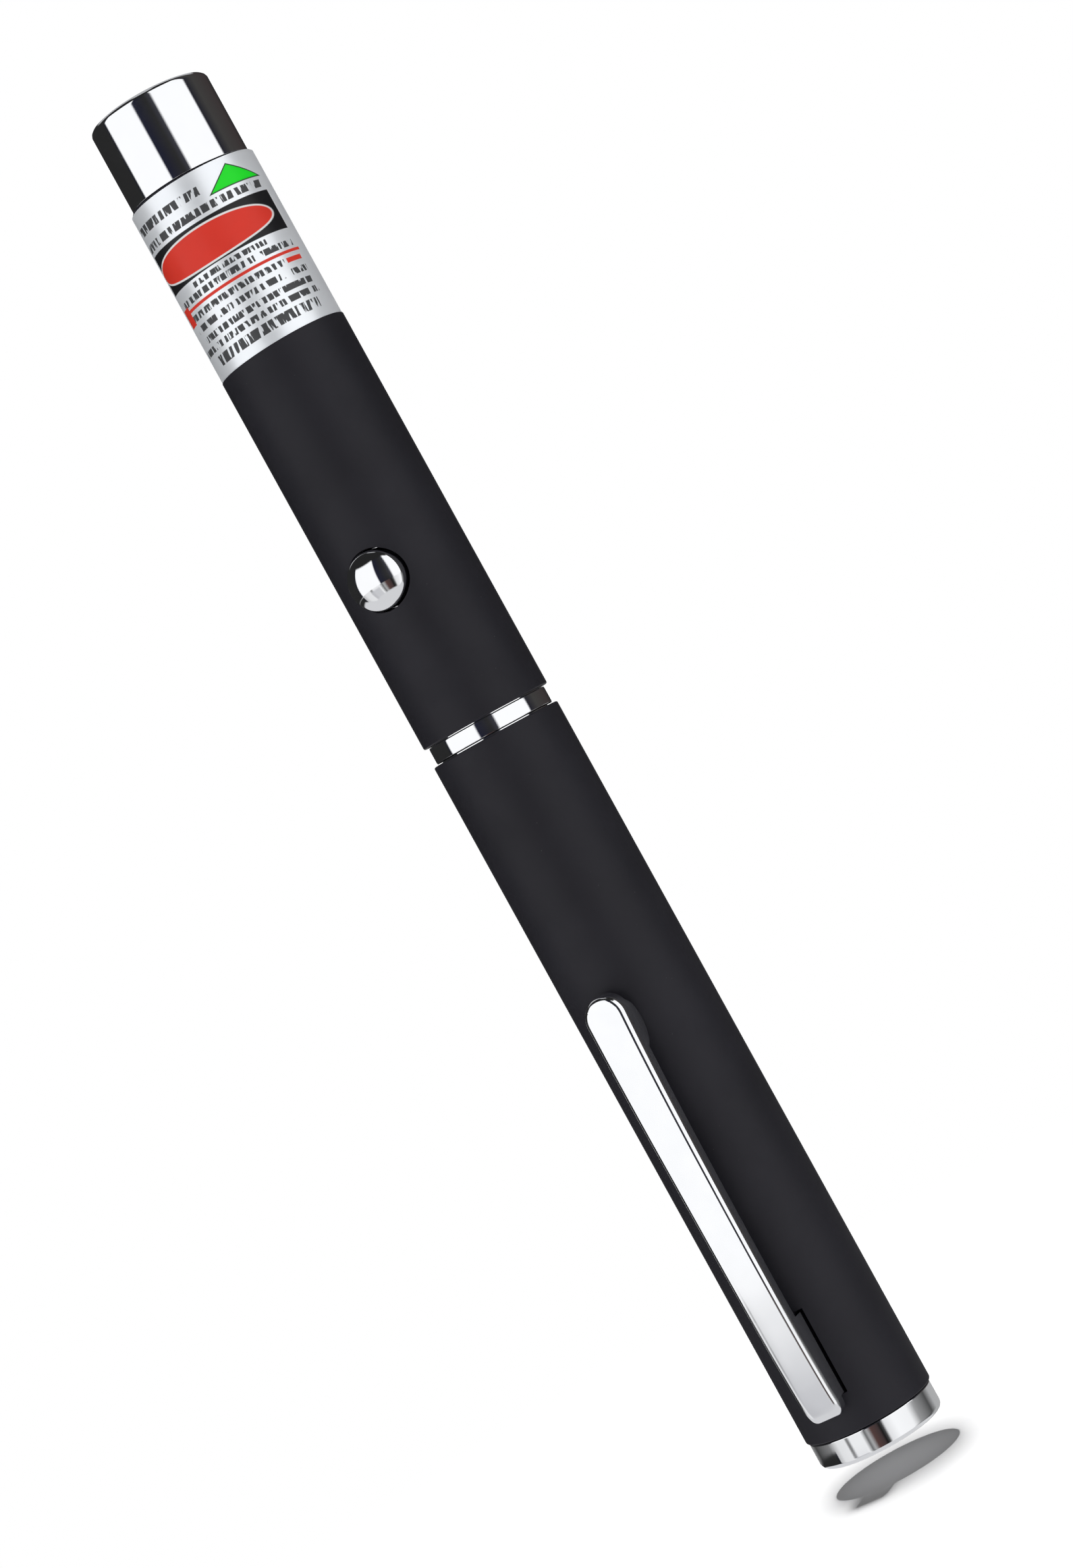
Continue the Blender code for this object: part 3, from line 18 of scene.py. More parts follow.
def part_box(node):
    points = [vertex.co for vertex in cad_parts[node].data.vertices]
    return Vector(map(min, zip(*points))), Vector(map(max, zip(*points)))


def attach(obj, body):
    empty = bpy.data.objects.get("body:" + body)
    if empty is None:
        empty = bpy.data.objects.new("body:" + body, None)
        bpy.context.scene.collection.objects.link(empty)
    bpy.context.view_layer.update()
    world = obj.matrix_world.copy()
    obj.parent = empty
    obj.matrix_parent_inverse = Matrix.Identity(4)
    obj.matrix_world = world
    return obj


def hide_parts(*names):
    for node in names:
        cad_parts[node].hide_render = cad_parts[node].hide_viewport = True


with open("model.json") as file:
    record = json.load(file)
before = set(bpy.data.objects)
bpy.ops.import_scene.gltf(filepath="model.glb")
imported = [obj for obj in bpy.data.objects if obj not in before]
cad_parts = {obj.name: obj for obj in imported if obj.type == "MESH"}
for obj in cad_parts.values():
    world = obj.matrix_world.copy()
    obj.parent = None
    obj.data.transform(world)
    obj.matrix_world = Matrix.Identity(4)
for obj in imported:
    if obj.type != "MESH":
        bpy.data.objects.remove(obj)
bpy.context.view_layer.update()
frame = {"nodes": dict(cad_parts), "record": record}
BOXES = {name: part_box(name) for name in frame["nodes"]}

bl_info = {
    "name": "Laser pointer pen",
    "version": (1, 0, 0),
    "blender": (4, 5, 0),
    "location": "3D View > Sidebar > Laser pen",
    "description": "Dresses a pen-shaped laser pointer and stands it in a studio",
    "category": "Object",
}

MM = 0.001

# How near corners are when they are one, lie on a cut, or lie on a ring or rim
WELD = 0.0005 * MM
CUT_SNAP = 0.012 * MM
NEAR = 0.01 * MM

# Gap round a seated part
SEAT_GAP = 0.05 * MM

# Steps of a full turn, of a rounding and of the button's dome
FINE_TURN = 160
BUTTON_TURN = 96
HOLE_TURN = 96
ROUNDING_STEPS = 4
DOME_STEPS = 28
SHOULDER_STEPS = 8
SHARP_ANGLE = math.radians(32)
CREASE_ANGLE = math.radians(50)

# Inner shapes of the turned pieces, which the frame's boxes don't give
BORE = 5.55 * MM
INNER_EDGE = 0.1 * MM
PLUG_BORE = 6.2 * MM
PLUG_HEAD = 6.2 * MM
MOUTH_FOOT = 74.7 * MM
SPIGOT = 6.0 * MM
FLANGE_FOOT = 80.0 * MM
FLANGE_HEAD = 81.8 * MM
TAIL_SHOULDER = 2.9 * MM
TAIL_FLOOR = 1.4 * MM
TAIL_SHOULDER_EDGE = 0.12 * MM
NOSE_SHOULDER = 142.6 * MM
NOSE_EDGE = 0.08 * MM
NOSE_BORE = 4.6 * MM
FILTER_POCKET = 2.6 * MM
FILTER_EDGE = 0.06 * MM
APERTURE = 1.6 * MM
APERTURE_LAND_HEAD = 150.4 * MM

# Thread of the screw joint
THREAD_PITCH = 1.0 * MM
THREAD_STEPS = 48
THREAD_RUN_OUT = 0.4
THREAD_LEAD = 0.3 * MM
MOUTH_THREAD_DEPTH = 0.4 * MM
SPIGOT_THREAD = (75.2 * MM, 79.5 * MM)
# Radius at the root and the crest of a ridge, then its width there
SPIGOT_RIDGE = (5.85 * MM, 6.35 * MM, 0.56 * MM, 0.18 * MM)
MOUTH_RIDGE = (6.62 * MM, 6.12 * MM, 0.74 * MM, 0.394 * MM)
MOUTH_BORE = 6.47 * MM

# Push button
BUTTON_HEIGHT = 98.6 * MM
BUTTON_HOLE = 3.25 * MM
HOLE_WELD = 0.04 * MM
HOLE_EDGE_STEPS = 2
BUTTON_RADIUS = 3.05 * MM
BUTTON_FLANGE = 3.6 * MM
BUTTON_FLANGE_EDGE = 0.06 * MM
BUTTON_DOME = 4.5 * MM
BUTTON_SHOULDER = 0.65 * MM
BUTTON_FLANGE_RISES = (4.324 * MM, 4.824 * MM)
BUTTON_SHELL = 0.6 * MM
BUTTON_POST = (0.9 * MM, 4.324 * MM)

# Pocket clip
CLIP_BOW = 0.75 * MM
CLIP_BOW_POWER = 3
CLIP_BOW_START = 4 * MM
CLIP_BOW_STEP = 1.0 * MM
CLIP_BOW_CUTS = 36
CLIP_DIP = 0.35 * MM
CLIP_DIP_LENGTH = 3.4 * MM
CLIP_DIP_POWER = 2.2
CLIP_DIP_STEPS = 12
CLIP_FOOT_WIDTH = 3.8 * MM
CLIP_FOOT_CORNER = (0.6 * MM, 4)
CLIP_TIP_STEPS = 14
CLIP_EDGE_STEPS = 6
CLIP_CORNER_WELD = 0.02 * MM
CLIP_CHAMFER = 0.38 * MM
CLIP_CHAMFER_LENGTH = 1.4 * MM
CLIP_CHAMFER_POWER = 1.4
CLIP_TAPER_POWER = 2.4
CLIP_DEPTH = 1.75 * MM
CLIP_CROWN = 0.05 * MM
CROWN_SHARES = (-0.6, -0.4, -0.2, 0, 0.2, 0.4, 0.6)
LOBE_RADIUS = 3.1 * MM
LOBE_SETBACK = 3.9 * MM
LOBE_STEPS = 24
LOBE_INSET = 0.5 * MM
LOBE_CLEARANCE = 0.1 * MM
TAB_SPAN = (7.1 * MM, 16.0 * MM)
TAB_RISE = 5.8 * MM
TAB_STEP = 0.02 * MM
SLOT_ACROSS = (1.2 * MM, 2.1 * MM)
SLOT_SLACK = 0.2 * MM

# What bright metal shows: degrees round from the camera, and the light there as a share of the panels' light
ROOM_PANELS = (
    (-180, 1), (-167, 1), (-164, 0.02), (-96, 0.02), (-91, (0.008, 0.009, 0.017)), (-88.5, 1), (-27, 1),
    (-24, (0.012, 0.013, 0.028)), (0, 0.022), (10, (0.038, 0.038, 0.048)), (14, 1), (78, 1),
    (81, (0.016, 0.016, 0.024)), (100, (0.048, 0.046, 0.044)), (140, (0.042, 0.034, 0.034)), (164, 0.02),
    (167, 1), (180, 1),
)
GROUND_PANELS = (
    (-180, 0.4), (-140, 0.05), (-100, 0.2), (-80, 0.75), (-63, 0.8), (-60, 0.2), (-57, 0.2), (-53, 0.85),
    (-31, 0.85), (-24, 0.13), (-19, 0.4), (-12, (0.09, 0.05, 0.045)), (0, (0.05, 0.035, 0.035)), (4, 0.008),
    (9, 0.06), (13, 0.75), (30, 0.95), (60, 0.9), (75, 0.3), (110, 0.07), (130, 0.4), (180, 0.4),
)

# What else bright metal sees. A turn is in degrees round from the camera, but the patch's spread is in radians.
# A rise is that of a direction of length 1. A change begins and ends at the first two numbers, and has the
# levels that follow them there.
GROUND_RISES = (-0.175, -0.187)
LEFT_TURNS = (-88, -92)
LEFT_GROUND_RISES = (-0.203, -0.209)
PATCH_TURN = -48
PATCH_SPREAD = (0.30, 0.22)
PATCH_RISES = (-0.215, -0.30, 0.0, 0.9)
PATCH_TONE = (0.62, 0.62, 0.64, 1)
TABLE_EDGE = (-100, -70, -0.33, -0.58)
ROOF_EDGE = (-90, -30, 0.64, 0.78)
ROOF_TONE = (0.02, 0.02, 0.02, 1)
EDGE_BLUR = 0.025
BACK_TURNS = (120, 135)
BACK_RISES = (0.55, 0.62)
TOP_RISES = (0.98, 0.99)
OVERHEAD_TONE = (0.5, 0.5, 0.51, 1)

# The even light, the floor, the lamp and the camera
LIGHT_TILT = 0.25
HIGH_LIGHT_FADE = (0.05, 0.4, 1.0, 0.06)
WHITE = (1, 1, 1, 1)
FLOOR_REACH = 12.0
FLOOR_FADE = (0.05, 0.16)
FLOOR_FLECK_SCALE = 300.0
FLOOR_FLECK_TONE = (0.54, 0.54, 0.54, 1)
LAMP_SPAN = (0.05, 0.15)
LAMP_SETBACK = 0.01
LAMP_HEIGHT = 1.5
SENSOR_WIDTH = 36
NEAREST_SEEN = 0.01

# Label, with its print measured round from the middle of its face
LABEL_SEAT = 6.75 * MM
LABEL_SHEET = 0.055 * MM
LABEL_SEAM_TURN = math.radians(68)
LABEL_WRAP = math.radians(363)
LABEL_COLUMNS = 180
LABEL_ROWS = 8
LABEL_HEAD_DROP = 0.05 * MM
SEAT_MARGIN = 0.02 * MM
SEAT_EDGE = 0.03 * MM

# The print's places on the flat label, in millimetres
PRINT_LEFT = -9.6
PRINT_RIGHT = 7.65
DASH_ROWS = (  # foot, height, left, right
    (16.2, 0.85, -9.3, 0.2),
    (14.45, 0.75, PRINT_LEFT, 7.2),
    (8.85, 0.5, -5.2, 4.0),
    (7.85, 0.6, -8.4, 7.0),
    (6.2, 0.6, -8.2, 4.6),
    (5.0, 0.6, -8.2, 7.2),
    (3.75, 0.6, -7.6, 7.0),
    (2.65, 0.6, PRINT_LEFT, 7.2),
    (1.1, 1.0, -7.4, 6.2),
)
DASH_STRENGTH = 0.95
OVAL_MIDDLE = (-1.7, 11.75, 0)
OVAL_BORDER_TONE = (0.75, 0.74, 0.74)
ARROW_FOOT = 15.7
ARROW_LEFT, ARROW_RIGHT = 1.3, 7.4
ARROW_SLOPES = (2.0 / 2.7, 2.0 / 3.3)
ARROW_BORDER = (0.15, 0.12)
ARROW_BORDER_TONE = (0.015, 0.05, 0.02)
SOFT_EDGE = 0.03

# Finishes that more than one material shares
CHROME_POLISH = {"roughness": 0.035, "spread": 0.03}
CHROME_TINT = 0.01
CHROME_GRAIN = (1.5, 0.00015)
WRAP_BAND = (0.62, 0.60, 0.56, 1)


def slot_colour(slot):
    """The colour that the record gives a material slot."""
    return next(row["base_color"][:3] for row in frame["record"]["materials"] if row["slot"] == slot)


def length_property(name, description, default):
    return FloatProperty(name=name, description=description, default=default, unit="LENGTH", precision=5)


def angle_property(name, description, degrees):
    return FloatProperty(name=name, description=description, default=math.radians(degrees), subtype="ANGLE")


def share_property(name, description, default, high=1.0):
    return FloatProperty(name=name, description=description, default=default, min=0, max=high)


def colour_property(name, description, default):
    return FloatVectorProperty(
        name=name, description=description, default=default, size=3, min=0, max=1, subtype="COLOR"
    )


class LaserPenSizes(PropertyGroup):
    """Sizes of the pieces that the scene makes itself."""

    barrel_rounding: length_property("Barrel rounding", "Rounding of the black barrels' edges", 0.18 * MM)
    nose_rounding: length_property("Nose rounding", "Rounding of the nose's rim", 0.7 * MM)
    ring_rounding: length_property("Ring rounding", "Rounding of the ring's edges", 0.16 * MM)
    tail_rounding: length_property("Tail rounding", "Rounding of the tail cap's foot", 0.6 * MM)
    hole_rounding: length_property("Hole rounding", "Rounding of the edge of the button's hole", 0.12 * MM)
    label_skew: angle_property("Label skew", "How far the label's lower edge is off square", 2.2)
    clip_sheet: length_property("Clip sheet", "Thickness of the clip's sheet", 0.4 * MM)
    clip_corner: length_property("Clip corner", "Rounding of the clip's long edges", 0.6 * MM)


class LaserPenColours(PropertyGroup):
    """Colours of the finishes."""

    chrome: colour_property("Chrome", "Chrome plate outside", (0.86, 0.87, 0.89))
    coat: colour_property("Black coat", "Satin coat of the barrels", (0.0148, 0.0142, 0.0195))
    foil: colour_property("Foil", "Silver foil of the label", (0.93, 0.96, 1.0))
    ink: colour_property("Ink", "Dark print on the label", (0.010, 0.010, 0.012))
    green_mark: colour_property("Green mark", "Arrow on the label", (0.0, 0.74, 0.01))
    red_mark: colour_property("Red mark", "Oval and lines on the label", (0.68, 0.026, 0.010))
    wrap: colour_property("Cell wrap", "Shrink wrap of the cells", slot_colour("cell_wrap"))
    steel: colour_property("Steel", "Spring wire and plain steel", slot_colour("spring_steel"))
    can: colour_property("Cell can", "Nickel plate of the cells", slot_colour("cell_core"))
    brass: colour_property("Brass", "Turned brass", slot_colour("brass"))
    aluminium: colour_property("Aluminium", "Turned aluminium", slot_colour("aluminium"))
    gold: colour_property("Gold plate", "Plated diode can", slot_colour("gold_plate"))
    laminate: colour_property("Laminate", "Solder mask of the board", slot_colour("board_laminate"))
    dark_plastic: colour_property("Dark plastic", "Moulded black plastic", slot_colour("black_plastic"))
    pale_plastic: colour_property("Pale plastic", "Moulded white plastic", slot_colour("white_plastic"))
    ceramic: colour_property("Ceramic", "Capacitor's body", slot_colour("ceramic"))
    lens: colour_property("Lens glass", "Clear optical glass", slot_colour("lens_glass"))
    filter: colour_property("Filter glass", "Infrared filter", slot_colour("filter_glass"))
    crystal: colour_property("Crystal", "Doubling crystal", slot_colour("crystal"))


class LaserPenStudio(PropertyGroup):
    """The camera, the room and the floor."""

    distance: length_property("Distance", "From the pen's axis to the camera", 0.36)
    height: length_property("Height", "Height of the camera and of what it looks at", 0.0736)
    side: length_property("Side", "How far the camera stands to the right of the axis", 0.00119)
    focal: FloatProperty(name="Focal length", description="In millimetres, on a 36 mm sensor", default=82.9)
    azimuth: angle_property("Azimuth", "Way round from the button's side to the camera", 24.4)
    roll: angle_property("Roll", "Lean of the pen to the left in the picture", 28.87)
    panel: share_property("Panel light", "Light of the soft panels, as bright metal shows it", 1.13, 4)
    light_before: share_property("Light before", "Even light from the camera's side", 3.1, 4)
    light_behind: share_property("Light behind", "Even light from behind the pen", 1.3, 4)
    table: colour_property("Table", "What bright metal shows below it", (0.72, 0.72, 0.73))
    lamp: FloatProperty(name="Top lamp", description="Power of the lamp overhead", default=40, subtype="POWER")
    floor: colour_property("Floor", "Colour of the floor", (0.53, 0.53, 0.535))
    drop: length_property("Floor drop", "How far the floor lies below the tail", 3.2 * MM)


class LaserPenSettings(PropertyGroup):
    """All that a user may change."""

    sizes: PointerProperty(type=LaserPenSizes)
    colours: PointerProperty(type=LaserPenColours)
    studio: PointerProperty(type=LaserPenStudio)


# Shapes


def spun(outline, turn=FINE_TURN):
    """Spin (radius, height, rounding) corners about Z. An outline that starts off the axis is closed."""
    bm = bmesh.new()
    corners = [bm.verts.new((corner[0], 0, corner[1])) for corner in outline]
    pairs = list(zip(corners, corners[1:]))
    if outline[0][0] > 0:
        pairs.append((corners[-1], corners[0]))
    edges = [bm.edges.new(pair) for pair in pairs]
    bmesh.ops.spin(
        bm, geom=corners + edges, cent=(0, 0, 0), axis=(0, 0, 1), angle=math.tau, steps=turn, use_merge=True
    )
    bmesh.ops.remove_doubles(bm, verts=bm.verts, dist=WELD)
    for corner in outline:
        if len(corner) > 2:
            round_ring(bm, *corner)
    bmesh.ops.recalc_face_normals(bm, faces=bm.faces)
    return bm


def on_ring(vert, radius, height):
    reach = math.hypot(vert.co.x, vert.co.y)
    return abs(reach - radius) < NEAR and abs(vert.co.z - height) < NEAR


def round_ring(bm, radius, height, rounding):
    """Round the ring of edges at a radius and a height."""
    ring = [edge for edge in bm.edges if all(on_ring(vert, radius, height) for vert in edge.verts)]
    soften_edges(bm, ring, rounding)


def soften_edges(bm, edges, rounding, steps=ROUNDING_STEPS, clamp=True):
    return bmesh.ops.bevel(
        bm,
        geom=edges,
        offset=rounding,
        offset_type="OFFSET",
        segments=steps,
        profile=0.5,
        affect="EDGES",
        material=-1,
        clamp_overlap=clamp,
    )


def add_ridge(bm, low, high, shape, phase):
    """Add a right-handed thread ridge that climbs between two heights and runs out into its wall."""
    root, crest, root_width, crest_width = shape
    steps = round((high - low) / THREAD_PITCH * THREAD_STEPS)
    corners = [
        bm.verts.new((root, 0, low - root_width / 2)),
        bm.verts.new((crest, 0, low - crest_width / 2)),
        bm.verts.new((crest, 0, low + crest_width / 2)),
        bm.verts.new((root, 0, low + root_width / 2)),
    ]
    before = set(bm.verts) - set(corners)
    face = bm.faces.new(corners)
    bmesh.ops.rotate(bm, verts=corners, cent=(0, 0, 0), matrix=Matrix.Rotation(phase, 3, "Z"))
    bmesh.ops.spin(
        bm,
        geom=[face],
        cent=(0, 0, 0),
        axis=(0, 0, 1),
        dvec=(0, 0, THREAD_PITCH / THREAD_STEPS),
        angle=math.tau * steps / THREAD_STEPS,
        steps=steps,
    )
    for vert in set(bm.verts) - before:
        reach = math.hypot(vert.co.x, vert.co.y)
        if abs(reach - crest) < NEAR:
            ends = min(vert.co.z - low, high - vert.co.z) / (THREAD_RUN_OUT * THREAD_PITCH)
            wanted = root + (crest - root) * min(max(ends, 0.0), 1.0)
            vert.co.x *= wanted / reach
            vert.co.y *= wanted / reach


def facing_out(bm, height=0.0):
    """Turn a shape that was made about Z so that it points towards -Y, at a height."""
    bmesh.ops.rotate(bm, verts=bm.verts, cent=(0, 0, 0), matrix=Matrix.Rotation(math.pi / 2, 3, "X"))
    bmesh.ops.translate(bm, verts=bm.verts, vec=(0, 0, height))
    return bm


def box_between(low, high):
    bm = bmesh.new()
    size = [b - a for a, b in zip(low, high)]
    place = Matrix.Translation((Vector(low) + Vector(high)) / 2) @ Matrix.Diagonal((*size, 1))
    bmesh.ops.create_cube(bm, size=1, matrix=place)
    return bm


def mesh_object(name, bm):
    mesh = bpy.data.meshes.new(name)
    bm.to_mesh(mesh)
    bm.free()
    piece = bpy.data.objects.new(name, mesh)
    bpy.context.scene.collection.objects.link(piece)
    return piece


def settle(piece):
    """Make the result of a piece's modifiers its own mesh."""
    graph = bpy.context.evaluated_depsgraph_get()
    mesh = bpy.data.meshes.new_from_object(piece.evaluated_get(graph))
    piece.modifiers.clear()
    piece.data = mesh
    return piece


def cut_out(piece, *cutters):
    """Cut closed shapes out of a piece."""
    for bm in cutters:
        cutter = mesh_object(f"{piece.name}_cutter", bm)
        cut = piece.modifiers.new("Cut", "BOOLEAN")
        cut.operation = "DIFFERENCE"
        cut.solver = "EXACT"
        cut.object = cutter
        settle(piece)
        bpy.data.objects.remove(cutter)
    return piece


def shade(piece, bent=False):
    """Shade a piece smooth between its sharp edges, with flat faces left flat unless the piece is bent."""
    piece.data.shade_smooth()
    piece.data.set_sharp_from_angle(angle=SHARP_ANGLE)
    if bent:
        return piece
    weigh = piece.modifiers.new("Flat faces stay flat", "WEIGHTED_NORMAL")
    weigh.keep_sharp = True
    weigh.weight = 100
    return settle(piece)


def place_piece(piece, body, slot, material, *nodes):
    """Dress a piece, and let it ride with a body in place of CAD nodes."""
    piece.data.materials.clear()
    piece.data.materials.append(material)
    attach(piece, body)
    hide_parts(*nodes)
    return piece


def turned_piece(name, outline, body, slot, material, *nodes):
    return place_piece(shade(mesh_object(name, spun(outline))), body, slot, material, *nodes)


# Clip


def clip_box():
    low, high = BOXES["pocket_clip"]
    return low.z, high.z, high.x, -low.y


def clip_rise(height):
    """Rise of the clip's face: bowed along its length, and bent towards the barrel at its foot."""
    foot, tip, _, crown = clip_box()
    off_middle = abs(height - (foot + tip) / 2) / ((tip - foot) / 2)
    into_dip = max(1 - (height - foot) / CLIP_DIP_LENGTH, 0)
    return crown - CLIP_BOW * off_middle**CLIP_BOW_POWER - CLIP_DIP * into_dip**CLIP_DIP_POWER


def clip_edge(height):
    """Rise of the lower edge of the clip's walls, with a tab near the foot and a round lobe near the tip."""
    tip, half = clip_box()[1:3]
    if TAB_SPAN[0] < height < TAB_SPAN[1]:
        return TAB_RISE
    edge = clip_rise(height) - CLIP_DEPTH
    along = abs(height - (tip - LOBE_SETBACK))
    if along < LOBE_RADIUS:
        touch = math.sqrt(barrel_radius() ** 2 - (half - LOBE_INSET) ** 2) + LOBE_CLEARANCE
        edge = min(edge, touch + LOBE_RADIUS - math.sqrt(LOBE_RADIUS**2 - along**2))
    return edge


def clip_half_width(height):
    foot, tip, half, _ = clip_box()
    share = min(max((height - foot) / (tip - foot), 0), 1)
    chamfer = CLIP_CHAMFER * max(1 - (height - foot) / CLIP_CHAMFER_LENGTH, 0) ** CLIP_CHAMFER_POWER
    return CLIP_FOOT_WIDTH / 2 + (half - CLIP_FOOT_WIDTH / 2) * share**CLIP_TAPER_POWER - chamfer


def clip_cuts():
    """Heights at which the clip's blank is divided, so that it can bend."""
    foot, tip, _, _ = clip_box()
    lobe = tip - LOBE_SETBACK
    cuts = [foot + CLIP_DIP_LENGTH * step / CLIP_DIP_STEPS for step in range(1, CLIP_DIP_STEPS + 3)]
    cuts += [edge + side * TAB_STEP for edge in TAB_SPAN for side in (-1, 1)]
    cuts += [foot + CLIP_BOW_START + CLIP_BOW_STEP * step for step in range(CLIP_BOW_CUTS)]
    leans = [math.pi * (step / LOBE_STEPS - 0.5) for step in range(LOBE_STEPS + 1)]
    cuts += [lobe + LOBE_RADIUS * math.sin(lean) for lean in leans]
    return sorted(height for height in cuts if foot < height < tip)


def clip_shell(sizes):
    """The clip's sheet: a rounded blank with its rim turned down into walls, bent to its bow."""
    foot, tip, half, _ = clip_box()
    bm = bmesh.new()
    bmesh.ops.create_grid(bm, x_segments=1, y_segments=1, size=0.5)
    middle = (foot + tip) / 2
    upright = Matrix.Translation((0, 0, middle)) @ Matrix.Rotation(math.pi / 2, 4, "X")
    bmesh.ops.transform(bm, verts=bm.verts, matrix=upright @ Matrix.Diagonal((2 * half, tip - foot, 1, 1)))
    for at_tip, rounding, steps in ((True, half * 0.999, CLIP_TIP_STEPS), (False, *CLIP_FOOT_CORNER)):
        corners = [vert for vert in bm.verts if (vert.co.z > middle) == at_tip]
        bmesh.ops.bevel(
            bm, geom=corners, offset=rounding, segments=steps, profile=0.5, affect="VERTICES", material=-1
        )
    bmesh.ops.remove_doubles(bm, verts=bm.verts, dist=CLIP_CORNER_WELD)
    for vert in bm.verts:
        if abs(vert.co.x) < CLIP_CORNER_WELD:
            vert.co.x = 0
    if sum(face.normal.y for face in bm.faces) > 0:
        bmesh.ops.reverse_faces(bm, faces=bm.faces)
    rim = [edge for edge in bm.edges if edge.is_boundary]
    walls = bmesh.ops.extrude_edge_only(bm, edges=rim)["geom"]
    wall_feet = [item for item in walls if isinstance(item, bmesh.types.BMVert)]
    bmesh.ops.translate(bm, verts=wall_feet, vec=(0, CLIP_DEPTH, 0))
    soften_edges(bm, rim, sizes.clip_corner, CLIP_EDGE_STEPS, clamp=False)
    cut_planes = [((0, 0, height), (0, 0, 1)) for height in clip_cuts()]
    cut_planes += [((half * share, 0, 0), (1, 0, 0)) for share in CROWN_SHARES]
    for place, way in cut_planes:
        everything = [*bm.verts, *bm.edges, *bm.faces]
        bmesh.ops.bisect_plane(bm, geom=everything, dist=CUT_SNAP, plane_co=place, plane_no=way)
    for vert in bm.verts:
        height = vert.co.z
        if vert.co.y > CLIP_DEPTH - WELD:
            vert.co.y = -clip_edge(height)
        else:
            vert.co.y += CLIP_CROWN * (vert.co.x / half) ** 2 - clip_rise(height)
        vert.co.x *= clip_half_width(height) / half
    return bm


def clip_object(sizes):
    piece = mesh_object("clip", clip_shell(sizes))
    sheet = piece.modifiers.new("Sheet", "SOLIDIFY")
    sheet.thickness = sizes.clip_sheet
    sheet.offset = -1
    sheet.use_even_offset = True
    return shade(settle(piece), bent=True)


def barrel_radius():
    return BOXES["rear_barrel"][1].x


# Materials


def node(tree, kind, inputs=(), **settings):
    """Add a node. Each input is set to a value, or linked to a socket."""
    made = tree.nodes.new(kind)
    for name, value in settings.items():
        setattr(made, name, value)
    for key, value in dict(inputs).items():
        if isinstance(value, NodeSocket):
            tree.links.new(value, made.inputs[key])
        else:
            made.inputs[key].default_value = value
    return made


def calc(tree, operation, *values, clamp=False):
    return node(tree, "ShaderNodeMath", enumerate(values), operation=operation, use_clamp=clamp).outputs[0]


def rescale(tree, value, low, high, new_low=0.0, new_high=1.0, kind="LINEAR"):
    places = {0: value, 1: low, 2: high, 3: new_low, 4: new_high}
    return node(tree, "ShaderNodeMapRange", places, interpolation_type=kind).outputs[0]


def vector_calc(tree, operation, *values, output="Vector"):
    return node(tree, "ShaderNodeVectorMath", enumerate(values), operation=operation).outputs[output]


def colour_of(value):
    return (*value, 1.0)


def blend(tree, share, under, over):
    """Lay one colour over another by a share."""
    return node(tree, "ShaderNodeMix", {0: share, 6: under, 7: over}, data_type="RGBA").outputs[2]


def scaled(tree, vector, scale):
    return node(tree, "ShaderNodeVectorMath", {0: vector, "Scale": scale}, operation="SCALE").outputs[0]


def length_of(tree, vector):
    return vector_calc(tree, "LENGTH", vector, output="Value")


def parts_of(tree, vector):
    return node(tree, "ShaderNodeSeparateXYZ", {0: vector}).outputs


def millimetres(tree):
    """The place on the piece, in millimetres."""
    return scaled(tree, node(tree, "ShaderNodeTexCoord").outputs["Object"], 1 / MM)


def noise(tree, vector, detail=2.0, scale=1.0):
    sockets = {"Vector": vector, "Scale": scale, "Detail": detail}
    return node(tree, "ShaderNodeTexNoise", sockets).outputs[0]


FLOAT, VECTOR, COLOUR = "NodeSocketFloat", "NodeSocketVector", "NodeSocketColor"
PRINT_INPUTS = {"place": (VECTOR, (0, 0, 0)), "middle": (VECTOR, (0, 0, 0)), "half_size": (VECTOR, (1, 1, 1))}


def effect(name, output, **inputs):
    """Turn a function that fills a node tree into one that places its node group, with named inputs."""

    def label_of(key):
        return key.replace("_", " ").capitalize()

    def wrap(build):
        def place_effect(tree, **values):
            if name not in bpy.data.node_groups:
                group = bpy.data.node_groups.new(name, "ShaderNodeTree")
                for key, (kind, default) in inputs.items():
                    socket = group.interface.new_socket(label_of(key), in_out="INPUT", socket_type=kind)
                    socket.default_value = default
                group.interface.new_socket(output[0], in_out="OUTPUT", socket_type=output[1])
                given = node(group, "NodeGroupInput").outputs
                node(group, "NodeGroupOutput", {0: build(group, given)})
            sockets = {label_of(key): value for key, value in values.items()}
            return node(tree, "ShaderNodeGroup", sockets, node_tree=bpy.data.node_groups[name]).outputs[0]

        return place_effect

    return wrap


@effect("Mottled colour", ("Colour", COLOUR), colour=(COLOUR, WHITE), spread=(FLOAT, 0.05), scale=(FLOAT, 0.3))
def mottled_colour(tree, given):
    """A colour that drifts lighter and darker over the surface."""
    drift = noise(tree, scaled(tree, millimetres(tree), given["Scale"]), 3.0)
    low = calc(tree, "SUBTRACT", 1.0, given["Spread"])
    high = calc(tree, "ADD", 1.0, given["Spread"])
    level = rescale(tree, drift, 0.3, 0.7, low, high)
    return node(tree, "ShaderNodeHueSaturation", {"Value": level, "Color": given["Colour"]}).outputs[0]


